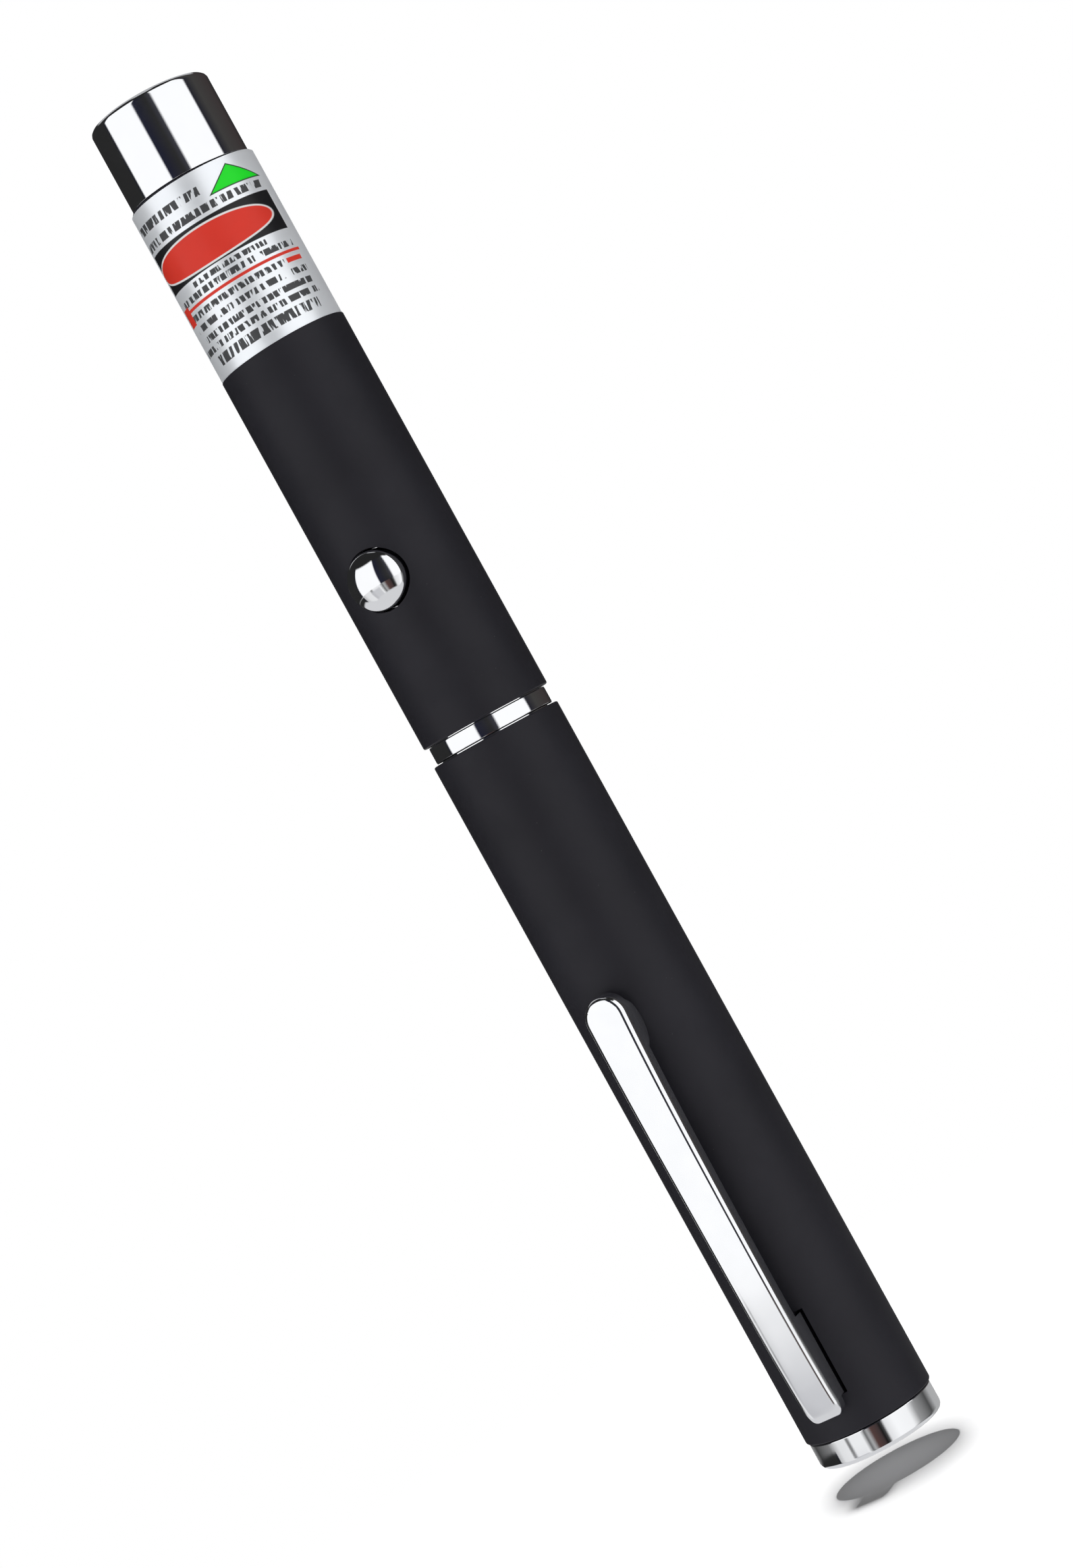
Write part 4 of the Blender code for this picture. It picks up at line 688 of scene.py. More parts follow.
@effect(
    "Handled gloss", ("Roughness", FLOAT), roughness=(FLOAT, 0.2), spread=(FLOAT, 0.05), scale=(FLOAT, 0.25)
)
def handled_gloss(tree, given):
    """Roughness that is a little higher where the surface has been handled."""
    broad = noise(tree, scaled(tree, millimetres(tree), given["Scale"]), 4.0)
    fine = noise(tree, scaled(tree, millimetres(tree), 3.1), 2.0)
    patches = rescale(tree, broad, 0.45, 0.7, kind="SMOOTHSTEP")
    mixed = calc(tree, "MULTIPLY_ADD", fine, 0.5, patches)
    return calc(tree, "MULTIPLY_ADD", mixed, given["Spread"], given["Roughness"])


@effect("Fine grain", ("Height", FLOAT), scale=(FLOAT, 8.0))
def fine_grain(tree, given):
    """Fine even grain, as a height."""
    return noise(tree, scaled(tree, millimetres(tree), given["Scale"]), 2.0)


@effect("Turning marks", ("Height", FLOAT), scale=(FLOAT, 6.0))
def turning_marks(tree, given):
    """Rings left by a lathe about Z, as a height."""
    place = parts_of(tree, millimetres(tree))
    reach = length_of(tree, node(tree, "ShaderNodeCombineXYZ", {0: place[0], 1: place[1]}).outputs[0])
    along = calc(tree, "MULTIPLY", calc(tree, "ADD", reach, place[2]), given["Scale"])
    sockets = {"W": along, "Detail": 3.0, "Scale": 1.0}
    return node(tree, "ShaderNodeTexNoise", sockets, noise_dimensions="1D").outputs[0]


@effect("Drawn hairlines", ("Height", FLOAT), scale=(FLOAT, 12.0))
def drawn_hairlines(tree, given):
    """Hairlines along Z, as a height."""
    stretched = vector_calc(tree, "MULTIPLY", millimetres(tree), (1.0, 1.0, 0.02))
    return noise(tree, scaled(tree, stretched, given["Scale"]), 3.0)


@effect("Dust specks", ("Mask", FLOAT), scale=(FLOAT, 1.2), size=(FLOAT, 0.04))
def dust_specks(tree, given):
    """Scattered fine specks of dust, as a mask."""
    spots = node(tree, "ShaderNodeTexVoronoi", {"Vector": millimetres(tree), "Scale": given["Scale"]})
    near = rescale(tree, spots.outputs["Distance"], given["Size"], 0.0)
    some = noise(tree, scaled(tree, millimetres(tree), 0.37), 1.0)
    return calc(tree, "MULTIPLY", near, rescale(tree, some, 0.45, 0.6))


@effect("Printed bar", ("Mask", FLOAT), **PRINT_INPUTS)
def printed_bar(tree, given):
    """A bar, as a mask, at a place on a flat print in millimetres."""
    off = vector_calc(tree, "ABSOLUTE", vector_calc(tree, "SUBTRACT", given["Place"], given["Middle"]))
    past = vector_calc(tree, "MAXIMUM", vector_calc(tree, "SUBTRACT", off, given["Half size"]), (0, 0, 0))
    return rescale(tree, length_of(tree, vector_calc(tree, "MULTIPLY", past, (1, 1, 0))), 0.06, 0.0)


@effect("Printed oval", ("Mask", FLOAT), **PRINT_INPUTS)
def printed_oval(tree, given):
    """An oval, as a mask, at a place on a flat print in millimetres."""
    off = vector_calc(tree, "SUBTRACT", given["Place"], given["Middle"])
    share = vector_calc(tree, "DIVIDE", off, given["Half size"])
    return rescale(tree, length_of(tree, share), 1.015, 0.985)


MARKS = {"grain": fine_grain, "turned": turning_marks, "drawn": drawn_hairlines}


def new_material(name, constants=()):
    """A material with constant values on its shader's own sockets."""
    material = bpy.data.materials.new(name)
    material.use_nodes = True
    shader = material.node_tree.nodes["Principled BSDF"]
    for label, value in dict(constants).items():
        shader.inputs[label].default_value = value
    return material, material.node_tree, shader


def feed(tree, shader, colour=None, roughness=None, height=None, depth=1.0, metallic=None):
    """Link what changes over the surface to the shader. The depth of a height is in millimetres."""
    for label, socket in (("Base Color", colour), ("Roughness", roughness), ("Metallic", metallic)):
        if socket is not None:
            tree.links.new(socket, shader.inputs[label])
    if height is not None:
        bump = node(tree, "ShaderNodeBump", {"Height": height, "Distance": depth * MM, "Strength": 1.0})
        tree.links.new(bump.outputs[0], shader.inputs["Normal"])


def finish(name, colour, roughness, spread, marks, scale, depth, tint=0.05, drift=0.3, metallic=0.0):
    """A plain finish: a drifting colour, handled gloss and one kind of fine marks."""
    material, tree, shader = new_material(name, {"Metallic": metallic})
    feed(
        tree,
        shader,
        mottled_colour(tree, colour=colour_of(colour), spread=tint, scale=drift),
        handled_gloss(tree, roughness=roughness, spread=spread),
        MARKS[marks](tree, scale=scale),
        depth,
    )
    return material


def chrome_finish(colours):
    polish = CHROME_POLISH.values()
    return finish("Chrome plate", colours.chrome, *polish, "grain", *CHROME_GRAIN, CHROME_TINT, metallic=1.0)


def faced_chrome_finish(colours, face):
    """Chrome plate with a duller end face, at a height, as the lathe leaves it."""
    material, tree, shader = new_material("Faced chrome", {"Metallic": 1.0})
    height = parts_of(tree, millimetres(tree))[2]
    on_face = rescale(tree, height, face / MM - 0.06, face / MM - 0.02)
    polish = handled_gloss(tree, **CHROME_POLISH)
    rough = calc(tree, "MULTIPLY_ADD", on_face, 0.25, polish)
    colour = mottled_colour(tree, colour=colour_of(colours.chrome), spread=CHROME_TINT, scale=0.3)
    scale, depth = CHROME_GRAIN
    feed(tree, shader, colour, rough, fine_grain(tree, scale=scale), depth)
    return material


def clip_finish(colours):
    return finish("Stamped chrome", colours.chrome, 0.07, 0.06, "drawn", 9.0, 0.0003, 0.02, metallic=1.0)


def coat_finish(colours):
    """The satin coat of the barrels, with a fine skin and a little dust."""
    material, tree, shader = new_material("Satin black coat", {"Specular IOR Level": 0.22})
    colour = mottled_colour(tree, colour=colour_of(colours.coat), spread=0.10, scale=0.12)
    dust = dust_specks(tree, scale=0.9, size=0.05)
    dusty = blend(tree, calc(tree, "MULTIPLY", dust, 0.25), colour, (0.25, 0.25, 0.25, 1))
    skin = fine_grain(tree, scale=7.0)
    rough = handled_gloss(tree, roughness=0.5, spread=0.06)
    feed(tree, shader, dusty, rough, skin, 0.0035)
    return material


def foil_place(tree, label_length, reach):
    """The place on the flat label, in millimetres from the middle of its face and from its foot."""
    flat = node(tree, "ShaderNodeUVMap").outputs[0]
    size = (LABEL_WRAP * reach / MM, label_length / MM, 0)
    middle = ((math.tau - LABEL_SEAM_TURN) * reach / MM, 0, 0)
    return vector_calc(tree, "SUBTRACT", vector_calc(tree, "MULTIPLY", flat, size), middle)


def arrow_mask(tree, place, side_border=0.0, foot_border=0.0):
    """A triangle that points to the nose, widened at its sides and its foot."""
    across, up = parts_of(tree, place)[:2]
    left = calc(tree, "MULTIPLY", calc(tree, "SUBTRACT", across, ARROW_LEFT), ARROW_SLOPES[0])
    right = calc(tree, "MULTIPLY", calc(tree, "SUBTRACT", ARROW_RIGHT, across), ARROW_SLOPES[1])
    under = calc(tree, "SUBTRACT", calc(tree, "MINIMUM", left, right), calc(tree, "SUBTRACT", up, ARROW_FOOT))
    inside = rescale(tree, under, -side_border - SOFT_EDGE, -side_border + SOFT_EDGE)
    foot = ARROW_FOOT - foot_border
    return calc(tree, "MULTIPLY", inside, rescale(tree, up, foot - SOFT_EDGE, foot + SOFT_EDGE))


def foil_finish(colours, label_length, reach):
    """Silver foil with its plain print: an arrow, an oval on a dark bar, lines and rows of fine dashes."""
    material, tree, shader = new_material("Printed foil", {"Specular IOR Level": 0.3})
    place = foil_place(tree, label_length, reach)

    def bar(left, right, foot, head):
        middle = ((left + right) / 2, (foot + head) / 2, 0)
        half = ((right - left) / 2, (head - foot) / 2, 0)
        return printed_bar(tree, place=place, middle=middle, half_size=half)

    def oval(half_length, half_height):
        half = (half_length, half_height, 1)
        return printed_oval(tree, place=place, middle=OVAL_MIDDLE, half_size=half)

    dashes = noise(tree, vector_calc(tree, "MULTIPLY", place, (2.6, 0.45, 0)), 1.0)
    broken = rescale(tree, dashes, 0.45, 0.49)
    marks = []
    for foot, tall, left, right in DASH_ROWS:
        row = calc(tree, "MULTIPLY", bar(left, right, foot, foot + tall), broken)
        marks.append((calc(tree, "MULTIPLY", row, DASH_STRENGTH), colours.ink))
    marks += [
        (arrow_mask(tree, place, *ARROW_BORDER), ARROW_BORDER_TONE),
        (arrow_mask(tree, place), colours.green_mark),
        (bar(PRINT_LEFT, PRINT_RIGHT, 9.7, 14.0), colours.ink),
        (oval(8.45, 1.95), OVAL_BORDER_TONE),
        (oval(8.2, 1.75), colours.red_mark),
        (bar(PRINT_LEFT, PRINT_RIGHT, 7.25, 7.5), colours.red_mark),
        (bar(PRINT_LEFT, -7.9, 6.0, 7.9), colours.red_mark),
        (bar(5.0, 7.2, 6.3, 6.75), colours.red_mark),
    ]
    colour, cover = colour_of(colours.foil), 0.0
    for mask, tone in marks:
        colour = blend(tree, mask, colour, colour_of(tone))
        cover = calc(tree, "MAXIMUM", cover, mask)
    metallic = calc(tree, "SUBTRACT", 0.5, calc(tree, "MULTIPLY", cover, 0.5))
    mottled = mottled_colour(tree, colour=colour, spread=0.015, scale=0.5)
    rough = handled_gloss(tree, roughness=0.34, spread=0.05, scale=0.5)
    creases = fine_grain(tree, scale=0.7)
    feed(tree, shader, mottled, rough, creases, 0.004, metallic)
    return material


def wrap_finish(colours, foot, head):
    """A cell's shrink wrap: a dark field with a silver shoulder band and a thin line under it."""
    coat = {"Coat Weight": 0.3, "Coat Roughness": 0.12}
    material, tree, shader = new_material(f"Shrink wrap {foot:.3f}", coat)
    height = parts_of(tree, millimetres(tree))[2]
    top = head / MM
    band = rescale(tree, height, top - 9.03, top - 8.97)
    line = calc(tree, "COMPARE", height, top - 10.0, 0.25)
    colour = blend(tree, band, colour_of(colours.wrap), WRAP_BAND)
    colour = blend(tree, line, colour, WRAP_BAND)
    mottled = mottled_colour(tree, colour=colour, spread=0.06, scale=0.4)
    rough = handled_gloss(tree, roughness=0.3, spread=0.1)
    feed(tree, shader, mottled, rough, fine_grain(tree, scale=0.8), 0.01)
    return material


def laminate_finish(colours):
    """Solder mask with lighter tracks under it."""
    material, tree, shader = new_material("Solder mask", {"Coat Weight": 0.2, "Coat Roughness": 0.2})
    across = vector_calc(tree, "MULTIPLY", millimetres(tree), (1.0, 0.0, 1.0))
    laid = node(tree, "ShaderNodeMapping", {"Vector": across, "Rotation": (math.pi / 2, 0, 0)}).outputs[0]
    spacing = {"Scale": 1.0, "Mortar Size": 0.12, "Brick Width": 2.6, "Row Height": 1.27}
    tracks = node(tree, "ShaderNodeTexBrick", {"Vector": laid, **spacing})
    lighter = tuple(min(1.0, part * 1.9 + 0.01) for part in colours.laminate)
    colour = blend(tree, tracks.outputs["Fac"], colour_of(colours.laminate), colour_of(lighter))
    mottled = mottled_colour(tree, colour=colour, spread=0.08, scale=0.6)
    rough = handled_gloss(tree, roughness=0.34, spread=0.1)
    feed(tree, shader, mottled, rough, fine_grain(tree, scale=5.0), 0.006)
    return material


def glass_finish(name, colour, index):
    material, tree, shader = new_material(name, {"Transmission Weight": 1.0, "IOR": index})
    tinted = mottled_colour(tree, colour=colour_of(colour), spread=0.02, scale=0.8)
    feed(tree, shader, tinted, handled_gloss(tree, roughness=0.02, spread=0.03, scale=0.6))
    return material


# Pieces


def settings():
    return bpy.context.scene.laser_pen


def editable(piece):
    bm = bmesh.new()
    bm.from_mesh(piece.data)
    return bm


def put_back(piece, bm):
    bm.to_mesh(piece.data)
    bm.free()


def plug_edge(radius, height):
    """A corner of a part that slides into another, slightly rounded."""
    return radius, height, INNER_EDGE


class LASERPEN_OT_rear_barrel(Operator):
    """Make the rear barrel, with its threaded mouth and the clip's slots"""

    bl_idname = "laser_pen.rear_barrel"
    bl_label = "Rear barrel"

    def execute(self, context):
        sizes = settings().sizes
        low, high = BOXES["rear_barrel"]
        radius = high.x
        bm = spun(
            [
                (PLUG_BORE, low.z),
                (PLUG_BORE, PLUG_HEAD + 2 * SEAT_GAP),
                (BORE, PLUG_HEAD + 2 * SEAT_GAP),
                (BORE, MOUTH_FOOT),
                (MOUTH_BORE, MOUTH_FOOT),
                plug_edge(MOUTH_BORE, high.z),
                (radius, high.z, sizes.barrel_rounding),
                (radius, low.z, sizes.barrel_rounding),
            ]
        )
        barrel = mesh_object("barrel_rear", bm)
        near, far = SLOT_ACROSS
        for side in (-1, 1):
            ends = sorted((side * near, side * far))
            cut_out(
                barrel,
                box_between(
                    (ends[0], -radius - MM, TAB_SPAN[0] - SLOT_SLACK),
                    (ends[1], -BORE + MM, TAB_SPAN[1] + SLOT_SLACK),
                ),
            )
        bm = editable(barrel)
        phase = math.tau * ((MOUTH_FOOT - SPIGOT_THREAD[0] + THREAD_LEAD) / THREAD_PITCH + 0.5)
        add_ridge(bm, MOUTH_FOOT + THREAD_LEAD, high.z - MOUTH_THREAD_DEPTH, MOUTH_RIDGE, phase)
        bmesh.ops.recalc_face_normals(bm, faces=bm.faces)
        put_back(barrel, bm)
        coat = coat_finish(settings().colours)
        place_piece(shade(barrel), "rear", "barrel_black", coat, "rear_barrel")
        return {"FINISHED"}


class LASERPEN_OT_front_barrel(Operator):
    """Make the front barrel, with the button's hole and the label's seat"""

    bl_idname = "laser_pen.front_barrel"
    bl_label = "Front barrel"

    def execute(self, context):
        sizes = settings().sizes
        low, high = BOXES["front_barrel"]
        radius = high.x
        seat = BOXES["label_sleeve"][0].z - SEAT_MARGIN
        bm = spun(
            [
                (SPIGOT + 2 * SEAT_GAP, low.z),
                (SPIGOT + 2 * SEAT_GAP, high.z),
                plug_edge(LABEL_SEAT, high.z),
                (LABEL_SEAT, seat),
                (radius, seat, SEAT_EDGE),
                (radius, low.z, sizes.barrel_rounding),
            ]
        )
        skew_rings(bm, seat, seat - 0.2 * MM, SPIGOT + 0.3 * MM)
        barrel = mesh_object("barrel_front", bm)
        cutter = bmesh.new()
        hole = {"radius1": BUTTON_HOLE, "radius2": BUTTON_HOLE, "depth": 2 * radius}
        bmesh.ops.create_cone(cutter, cap_ends=True, segments=HOLE_TURN, **hole)
        bmesh.ops.translate(cutter, verts=cutter.verts, vec=(0, 0, radius + MM))
        cut_out(barrel, facing_out(cutter, BUTTON_HEIGHT))
        bm = editable(barrel)
        rim_corners = [vert for vert in bm.verts if on_hole_rim(vert, radius)]
        bmesh.ops.remove_doubles(bm, verts=rim_corners, dist=HOLE_WELD)
        rim = [edge for edge in bm.edges if all(on_hole_rim(vert, radius) for vert in edge.verts)]
        rim = [edge for edge in rim if edge.calc_face_angle(0) > CREASE_ANGLE]
        soften_edges(bm, rim, sizes.hole_rounding, HOLE_EDGE_STEPS)
        put_back(barrel, bm)
        coat = coat_finish(settings().colours)
        place_piece(shade(barrel), "front", "barrel_black", coat, "front_barrel")
        return {"FINISHED"}


def on_hole_rim(vert, radius):
    from_hole = math.hypot(vert.co.x, vert.co.z - BUTTON_HEIGHT)
    from_axis = math.hypot(vert.co.x, vert.co.y)
    return vert.co.y < 0 and abs(from_hole - BUTTON_HOLE) < NEAR and abs(from_axis - radius) < 2 * NEAR


def skew_rings(bm, height, low, least_radius):
    """Lean the rings of corners between two heights as the label's lower edge leans."""
    azimuth = settings().studio.azimuth
    slope = math.tan(settings().sizes.label_skew)
    for vert in bm.verts:
        if low < vert.co.z < height + NEAR and math.hypot(vert.co.x, vert.co.y) > least_radius:
            vert.co.z += slope * (vert.co.x * math.cos(azimuth) + vert.co.y * math.sin(azimuth))


class LASERPEN_OT_nose(Operator):
    """Make the chrome nose with its aperture, and the filter behind it"""

    bl_idname = "laser_pen.nose"
    bl_label = "Nose"

    def execute(self, context):
        sizes, colours = settings().sizes, settings().colours
        low, high = BOXES["nose_cap"]
        window_low, window_high = BOXES["aperture_window"]
        outline = [
            (NOSE_BORE, low.z),
            (NOSE_BORE, window_low.z - SEAT_GAP),
            (FILTER_POCKET, window_low.z - SEAT_GAP),
            (FILTER_POCKET, window_high.z + SEAT_GAP),
            (APERTURE, window_high.z + SEAT_GAP),
            (APERTURE, APERTURE_LAND_HEAD, NOSE_EDGE),
            (FILTER_POCKET, high.z, INNER_EDGE),
            (high.x, high.z, sizes.nose_rounding),
            (high.x, NOSE_SHOULDER, NOSE_EDGE),
            (SPIGOT, NOSE_SHOULDER),
            plug_edge(SPIGOT, low.z),
        ]
        turned_piece("nose", outline, "front", "chrome", faced_chrome_finish(colours, high.z), "nose_cap")
        radius = window_high.x
        window = [
            (0, window_high.z),
            (radius, window_high.z, FILTER_EDGE),
            (radius, window_low.z, FILTER_EDGE),
            (0, window_low.z),
        ]
        glass = glass_finish("Filter glass", colours.filter, 1.52)
        turned_piece("window", window, "front", "filter_glass", glass, "aperture_window")
        return {"FINISHED"}


class LASERPEN_OT_coupling_ring(Operator):
    """Make the chrome ring between the halves, with its threaded spigot"""

    bl_idname = "laser_pen.coupling_ring"
    bl_label = "Coupling ring"

    def execute(self, context):
        rounding = settings().sizes.ring_rounding
        low, high = BOXES["coupling_ring"]
        bm = spun(
            [
                (BORE, low.z),
                (BORE, high.z),
                plug_edge(SPIGOT, high.z),
                (SPIGOT, FLANGE_HEAD),
                (high.x, FLANGE_HEAD, rounding),
                (high.x, FLANGE_FOOT, rounding),
                (SPIGOT, FLANGE_FOOT),
                plug_edge(SPIGOT, low.z),
            ]
        )
        phase = math.tau * THREAD_LEAD / THREAD_PITCH
        add_ridge(bm, *SPIGOT_THREAD, SPIGOT_RIDGE, phase)
        bmesh.ops.recalc_face_normals(bm, faces=bm.faces)
        ring = shade(mesh_object("ring", bm))
        place_piece(ring, "front", "chrome", chrome_finish(settings().colours), "coupling_ring")
        return {"FINISHED"}


class LASERPEN_OT_tail_cap(Operator):
    """Make the chrome tail cap"""

    bl_idname = "laser_pen.tail_cap"
    bl_label = "Tail cap"

    def execute(self, context):
        radius = BOXES["tail_cap"][1].x
        outline = [
            (0, TAIL_FLOOR),
            (BORE, TAIL_FLOOR),
            (BORE, PLUG_HEAD),
            plug_edge(PLUG_BORE - 2 * SEAT_GAP, PLUG_HEAD),
            (PLUG_BORE - 2 * SEAT_GAP, TAIL_SHOULDER),
            (radius, TAIL_SHOULDER, TAIL_SHOULDER_EDGE),
            (radius, 0, settings().sizes.tail_rounding),
            (0, 0),
        ]
        turned_piece("tail", outline, "rear", "chrome", chrome_finish(settings().colours), "tail_cap")
        return {"FINISHED"}


class LASERPEN_OT_label(Operator):
    """Wrap the printed foil label round the front barrel"""

    bl_idname = "laser_pen.label"
    bl_label = "Label"

    def execute(self, context):
        sizes, azimuth = settings().sizes, settings().studio.azimuth
        low, high = BOXES["label_sleeve"]
        reach, tall = high.x, high.z - low.z
        start = azimuth - math.pi / 2 + LABEL_SEAM_TURN
        foot_slope = math.tan(sizes.label_skew)
        bm = bmesh.new()
        bm.loops.layers.uv.new("Print")
        bmesh.ops.create_grid(bm, x_segments=LABEL_COLUMNS, y_segments=LABEL_ROWS, size=0.5, calc_uvs=True)
        for vert in bm.verts:
            share, up = vert.co.x + 0.5, vert.co.y + 0.5
            turn = start + share * LABEL_WRAP
            radius = reach - LABEL_SHEET * (1 - share)
            lean = foot_slope * (1 - 0.5 * up) * reach * math.cos(turn - azimuth)
            height = low.z + tall * up + lean - LABEL_HEAD_DROP * up
            vert.co = (radius * math.cos(turn), radius * math.sin(turn), height)
        label = mesh_object("label", bm)
        sheet = label.modifiers.new("Sheet", "SOLIDIFY")
        sheet.thickness = LABEL_SHEET
        sheet.offset = -1
        settle(label)
        material = foil_finish(settings().colours, tall, reach)
        place_piece(shade(label), "front", "label_foil", material, "label_sleeve")
        return {"FINISHED"}


def button_dome(crown):
    """The button's dome from beside its crown, with a rounded shoulder at its edge."""
    shoulder = BUTTON_RADIUS - BUTTON_SHOULDER
    lean = math.asin(shoulder / (BUTTON_DOME - BUTTON_SHOULDER))
    turns = [lean * step / DOME_STEPS for step in range(1, DOME_STEPS + 1)]
    dome = [(BUTTON_DOME * math.sin(turn), crown - BUTTON_DOME * (1 - math.cos(turn))) for turn in turns]
    rise = dome[-1][1] - BUTTON_SHOULDER * math.cos(lean)
    turns = [lean + (math.pi / 2 - lean) * step / SHOULDER_STEPS for step in range(1, SHOULDER_STEPS + 1)]
    round_off = [(BUTTON_SHOULDER * math.sin(turn), BUTTON_SHOULDER * math.cos(turn)) for turn in turns]
    return dome + [(shoulder + out, rise + up) for out, up in round_off]


class LASERPEN_OT_button(Operator):
    """Make the domed chrome push button"""

    bl_idname = "laser_pen.button"
    bl_label = "Push button"

    def execute(self, context):
        crown = -BOXES["button_cap"][0].y
        dome = button_dome(crown)
        inner, outer = BUTTON_FLANGE_RISES
        pocket = BUTTON_RADIUS - BUTTON_SHELL
        roof = dome[-1][1] - BUTTON_SHELL
        post_radius, post_foot = BUTTON_POST
        outline = [
            (0, crown),
            *dome,
            (BUTTON_RADIUS, outer),
            (BUTTON_FLANGE, outer, BUTTON_FLANGE_EDGE),
            (BUTTON_FLANGE, inner, BUTTON_FLANGE_EDGE),
            (pocket, inner),
            (pocket, roof),
            (post_radius, roof),
            (post_radius, post_foot),
            (0, post_foot),
        ]
        button = shade(mesh_object("button", facing_out(spun(outline, BUTTON_TURN), BUTTON_HEIGHT)))
        place_piece(button, "button", "chrome", chrome_finish(settings().colours), "button_cap")
        return {"FINISHED"}


class LASERPEN_OT_clip(Operator):
    """Make the stamped pocket clip"""

    bl_idname = "laser_pen.clip"
    bl_label = "Pocket clip"

    def execute(self, context):
        clip = clip_object(settings().sizes)
        place_piece(clip, "clip", "chrome", clip_finish(settings().colours), "pocket_clip")
        return {"FINISHED"}


# Name, colour, roughness and its spread, marks with their scale and depth, metallic, and the nodes that have it
INNER_FINISHES = (
    (
        "Spring wire", "steel", 0.22, 0.08, "drawn", 14.0, 0.001, 1.0,
        ("tail_spring", "contact_spring", "lens_spring", "switch_cover"),
    ),
    (
        "Nickel plate", "can", 0.2, 0.08, "drawn", 10.0, 0.001, 1.0,
        ("rear_cell_can", "front_cell_can", "rear_cell_cap", "front_cell_cap"),
    ),
    (
        "Turned brass", "brass", 0.22, 0.08, "turned", 7.0, 0.004, 1.0,
        ("module_housing", "crystal_mount", "lens_retainer", "diode_retainer", "trimmer_rotor"),
    ),
    ("Turned aluminium", "aluminium", 0.26, 0.08, "turned", 7.0, 0.004, 1.0, ("diode_mount", "lens_barrel")),
    ("Gold plate", "gold", 0.14, 0.06, "grain", 4.0, 0.001, 1.0, ("laser_diode",)),
    (
        "Dark plastic", "dark_plastic", 0.42, 0.1, "grain", 9.0, 0.006, 0.0,
        ("board_cradle", "switch_body", "driver_chip", "drive_transistor"),
    ),
    ("Pale plastic", "pale_plastic", 0.4, 0.1, "grain", 9.0, 0.004, 0.0, ("trimmer_base", "switch_plunger")),
    ("Ceramic", "ceramic", 0.38, 0.1, "grain", 12.0, 0.004, 0.0, ("smoothing_capacitor",)),
)


class LASERPEN_OT_inside(Operator):
    """Give every piece inside the pen its finish"""

    bl_idname = "laser_pen.inside"
    bl_label = "Inner pieces"

    def execute(self, context):
        colours = settings().colours
        dressed = {
            glass_finish("Lens glass", colours.lens, 1.52): ("collimating_lens", "expander_lens"),
            glass_finish("Crystal", colours.crystal, 1.78): ("laser_crystal",),
            laminate_finish(colours): ("driver_board",),
        }
        for name, colour, *looks, metallic, nodes in INNER_FINISHES:
            dressed[finish(name, getattr(colours, colour), *looks, metallic=metallic)] = nodes
        for name in ("rear_cell_wrap", "front_cell_wrap"):
            low, high = BOXES[name]
            dressed[wrap_finish(colours, low.z, high.z)] = (name,)
        for material, names in dressed.items():
            for name in names:
                frame["nodes"][name].data.materials[0] = material
        return {"FINISHED"}


# Studio


def room_ramp(tree, way_round, stops, light):
    """Colour by the way round from the camera, in degrees, as grey levels or colours."""
    ramp = node(tree, "ShaderNodeValToRGB", {0: way_round})
    points = ramp.color_ramp.elements
    points.remove(points[1])
    for index, (degrees, level) in enumerate(stops):
        point = points[0] if index == 0 else points.new(0.5 + degrees / 360)
        point.position = 0.5 + degrees / 360
        tone = level if isinstance(level, tuple) else (level, level, level)
        point.color = (*(light * part for part in tone), 1)
    return ramp.outputs[0]


def by_turn(tree, turned, start, end, *levels):
    """Rescale the turn from the camera between two turns in degrees."""
    return rescale(tree, turned, math.radians(start), math.radians(end), *levels)


def shining_room(tree, studio, turned, rise):
    """What bright metal sees: the room's panels over the ground's, a patch, the table, the roof and the top."""
    way_round = rescale(tree, turned, -math.pi, math.pi)
    room = room_ramp(tree, way_round, ROOM_PANELS, studio.panel)
    ground = room_ramp(tree, way_round, GROUND_PANELS, studio.panel)
    shiny = blend(tree, rescale(tree, rise, *GROUND_RISES), room, ground)
    left_ground = rescale(tree, rise, *LEFT_GROUND_RISES)
    shiny = blend(tree, calc(tree, "MULTIPLY", by_turn(tree, turned, *LEFT_TURNS), left_ground), shiny, room)
    off_patch = calc(tree, "ABSOLUTE", calc(tree, "SUBTRACT", turned, math.radians(PATCH_TURN)))
    patch = calc(tree, "MULTIPLY", rescale(tree, off_patch, *PATCH_SPREAD), rescale(tree, rise, *PATCH_RISES))
    shiny = blend(tree, patch, shiny, PATCH_TONE)
    over_table = calc(tree, "SUBTRACT", rise, by_turn(tree, turned, *TABLE_EDGE))
    shiny = blend(tree, rescale(tree, over_table, EDGE_BLUR, -EDGE_BLUR), shiny, colour_of(studio.table))
    under_roof = calc(tree, "SUBTRACT", by_turn(tree, turned, *ROOF_EDGE), rise)
    shiny = blend(tree, rescale(tree, under_roof, EDGE_BLUR, -EDGE_BLUR), shiny, ROOF_TONE)
    behind = by_turn(tree, calc(tree, "ABSOLUTE", turned), *BACK_TURNS)
    overhead = calc(tree, "MULTIPLY", behind, rescale(tree, rise, *BACK_RISES))
    overhead = calc(tree, "MAXIMUM", overhead, rescale(tree, rise, *TOP_RISES))
    return blend(tree, overhead, shiny, OVERHEAD_TONE)


def seen_share(tree, rays):
    """1 for what the camera sees, also through glass."""
    return calc(tree, "ADD", rays["Is Camera Ray"], rays["Is Transmission Ray"], clamp=True)


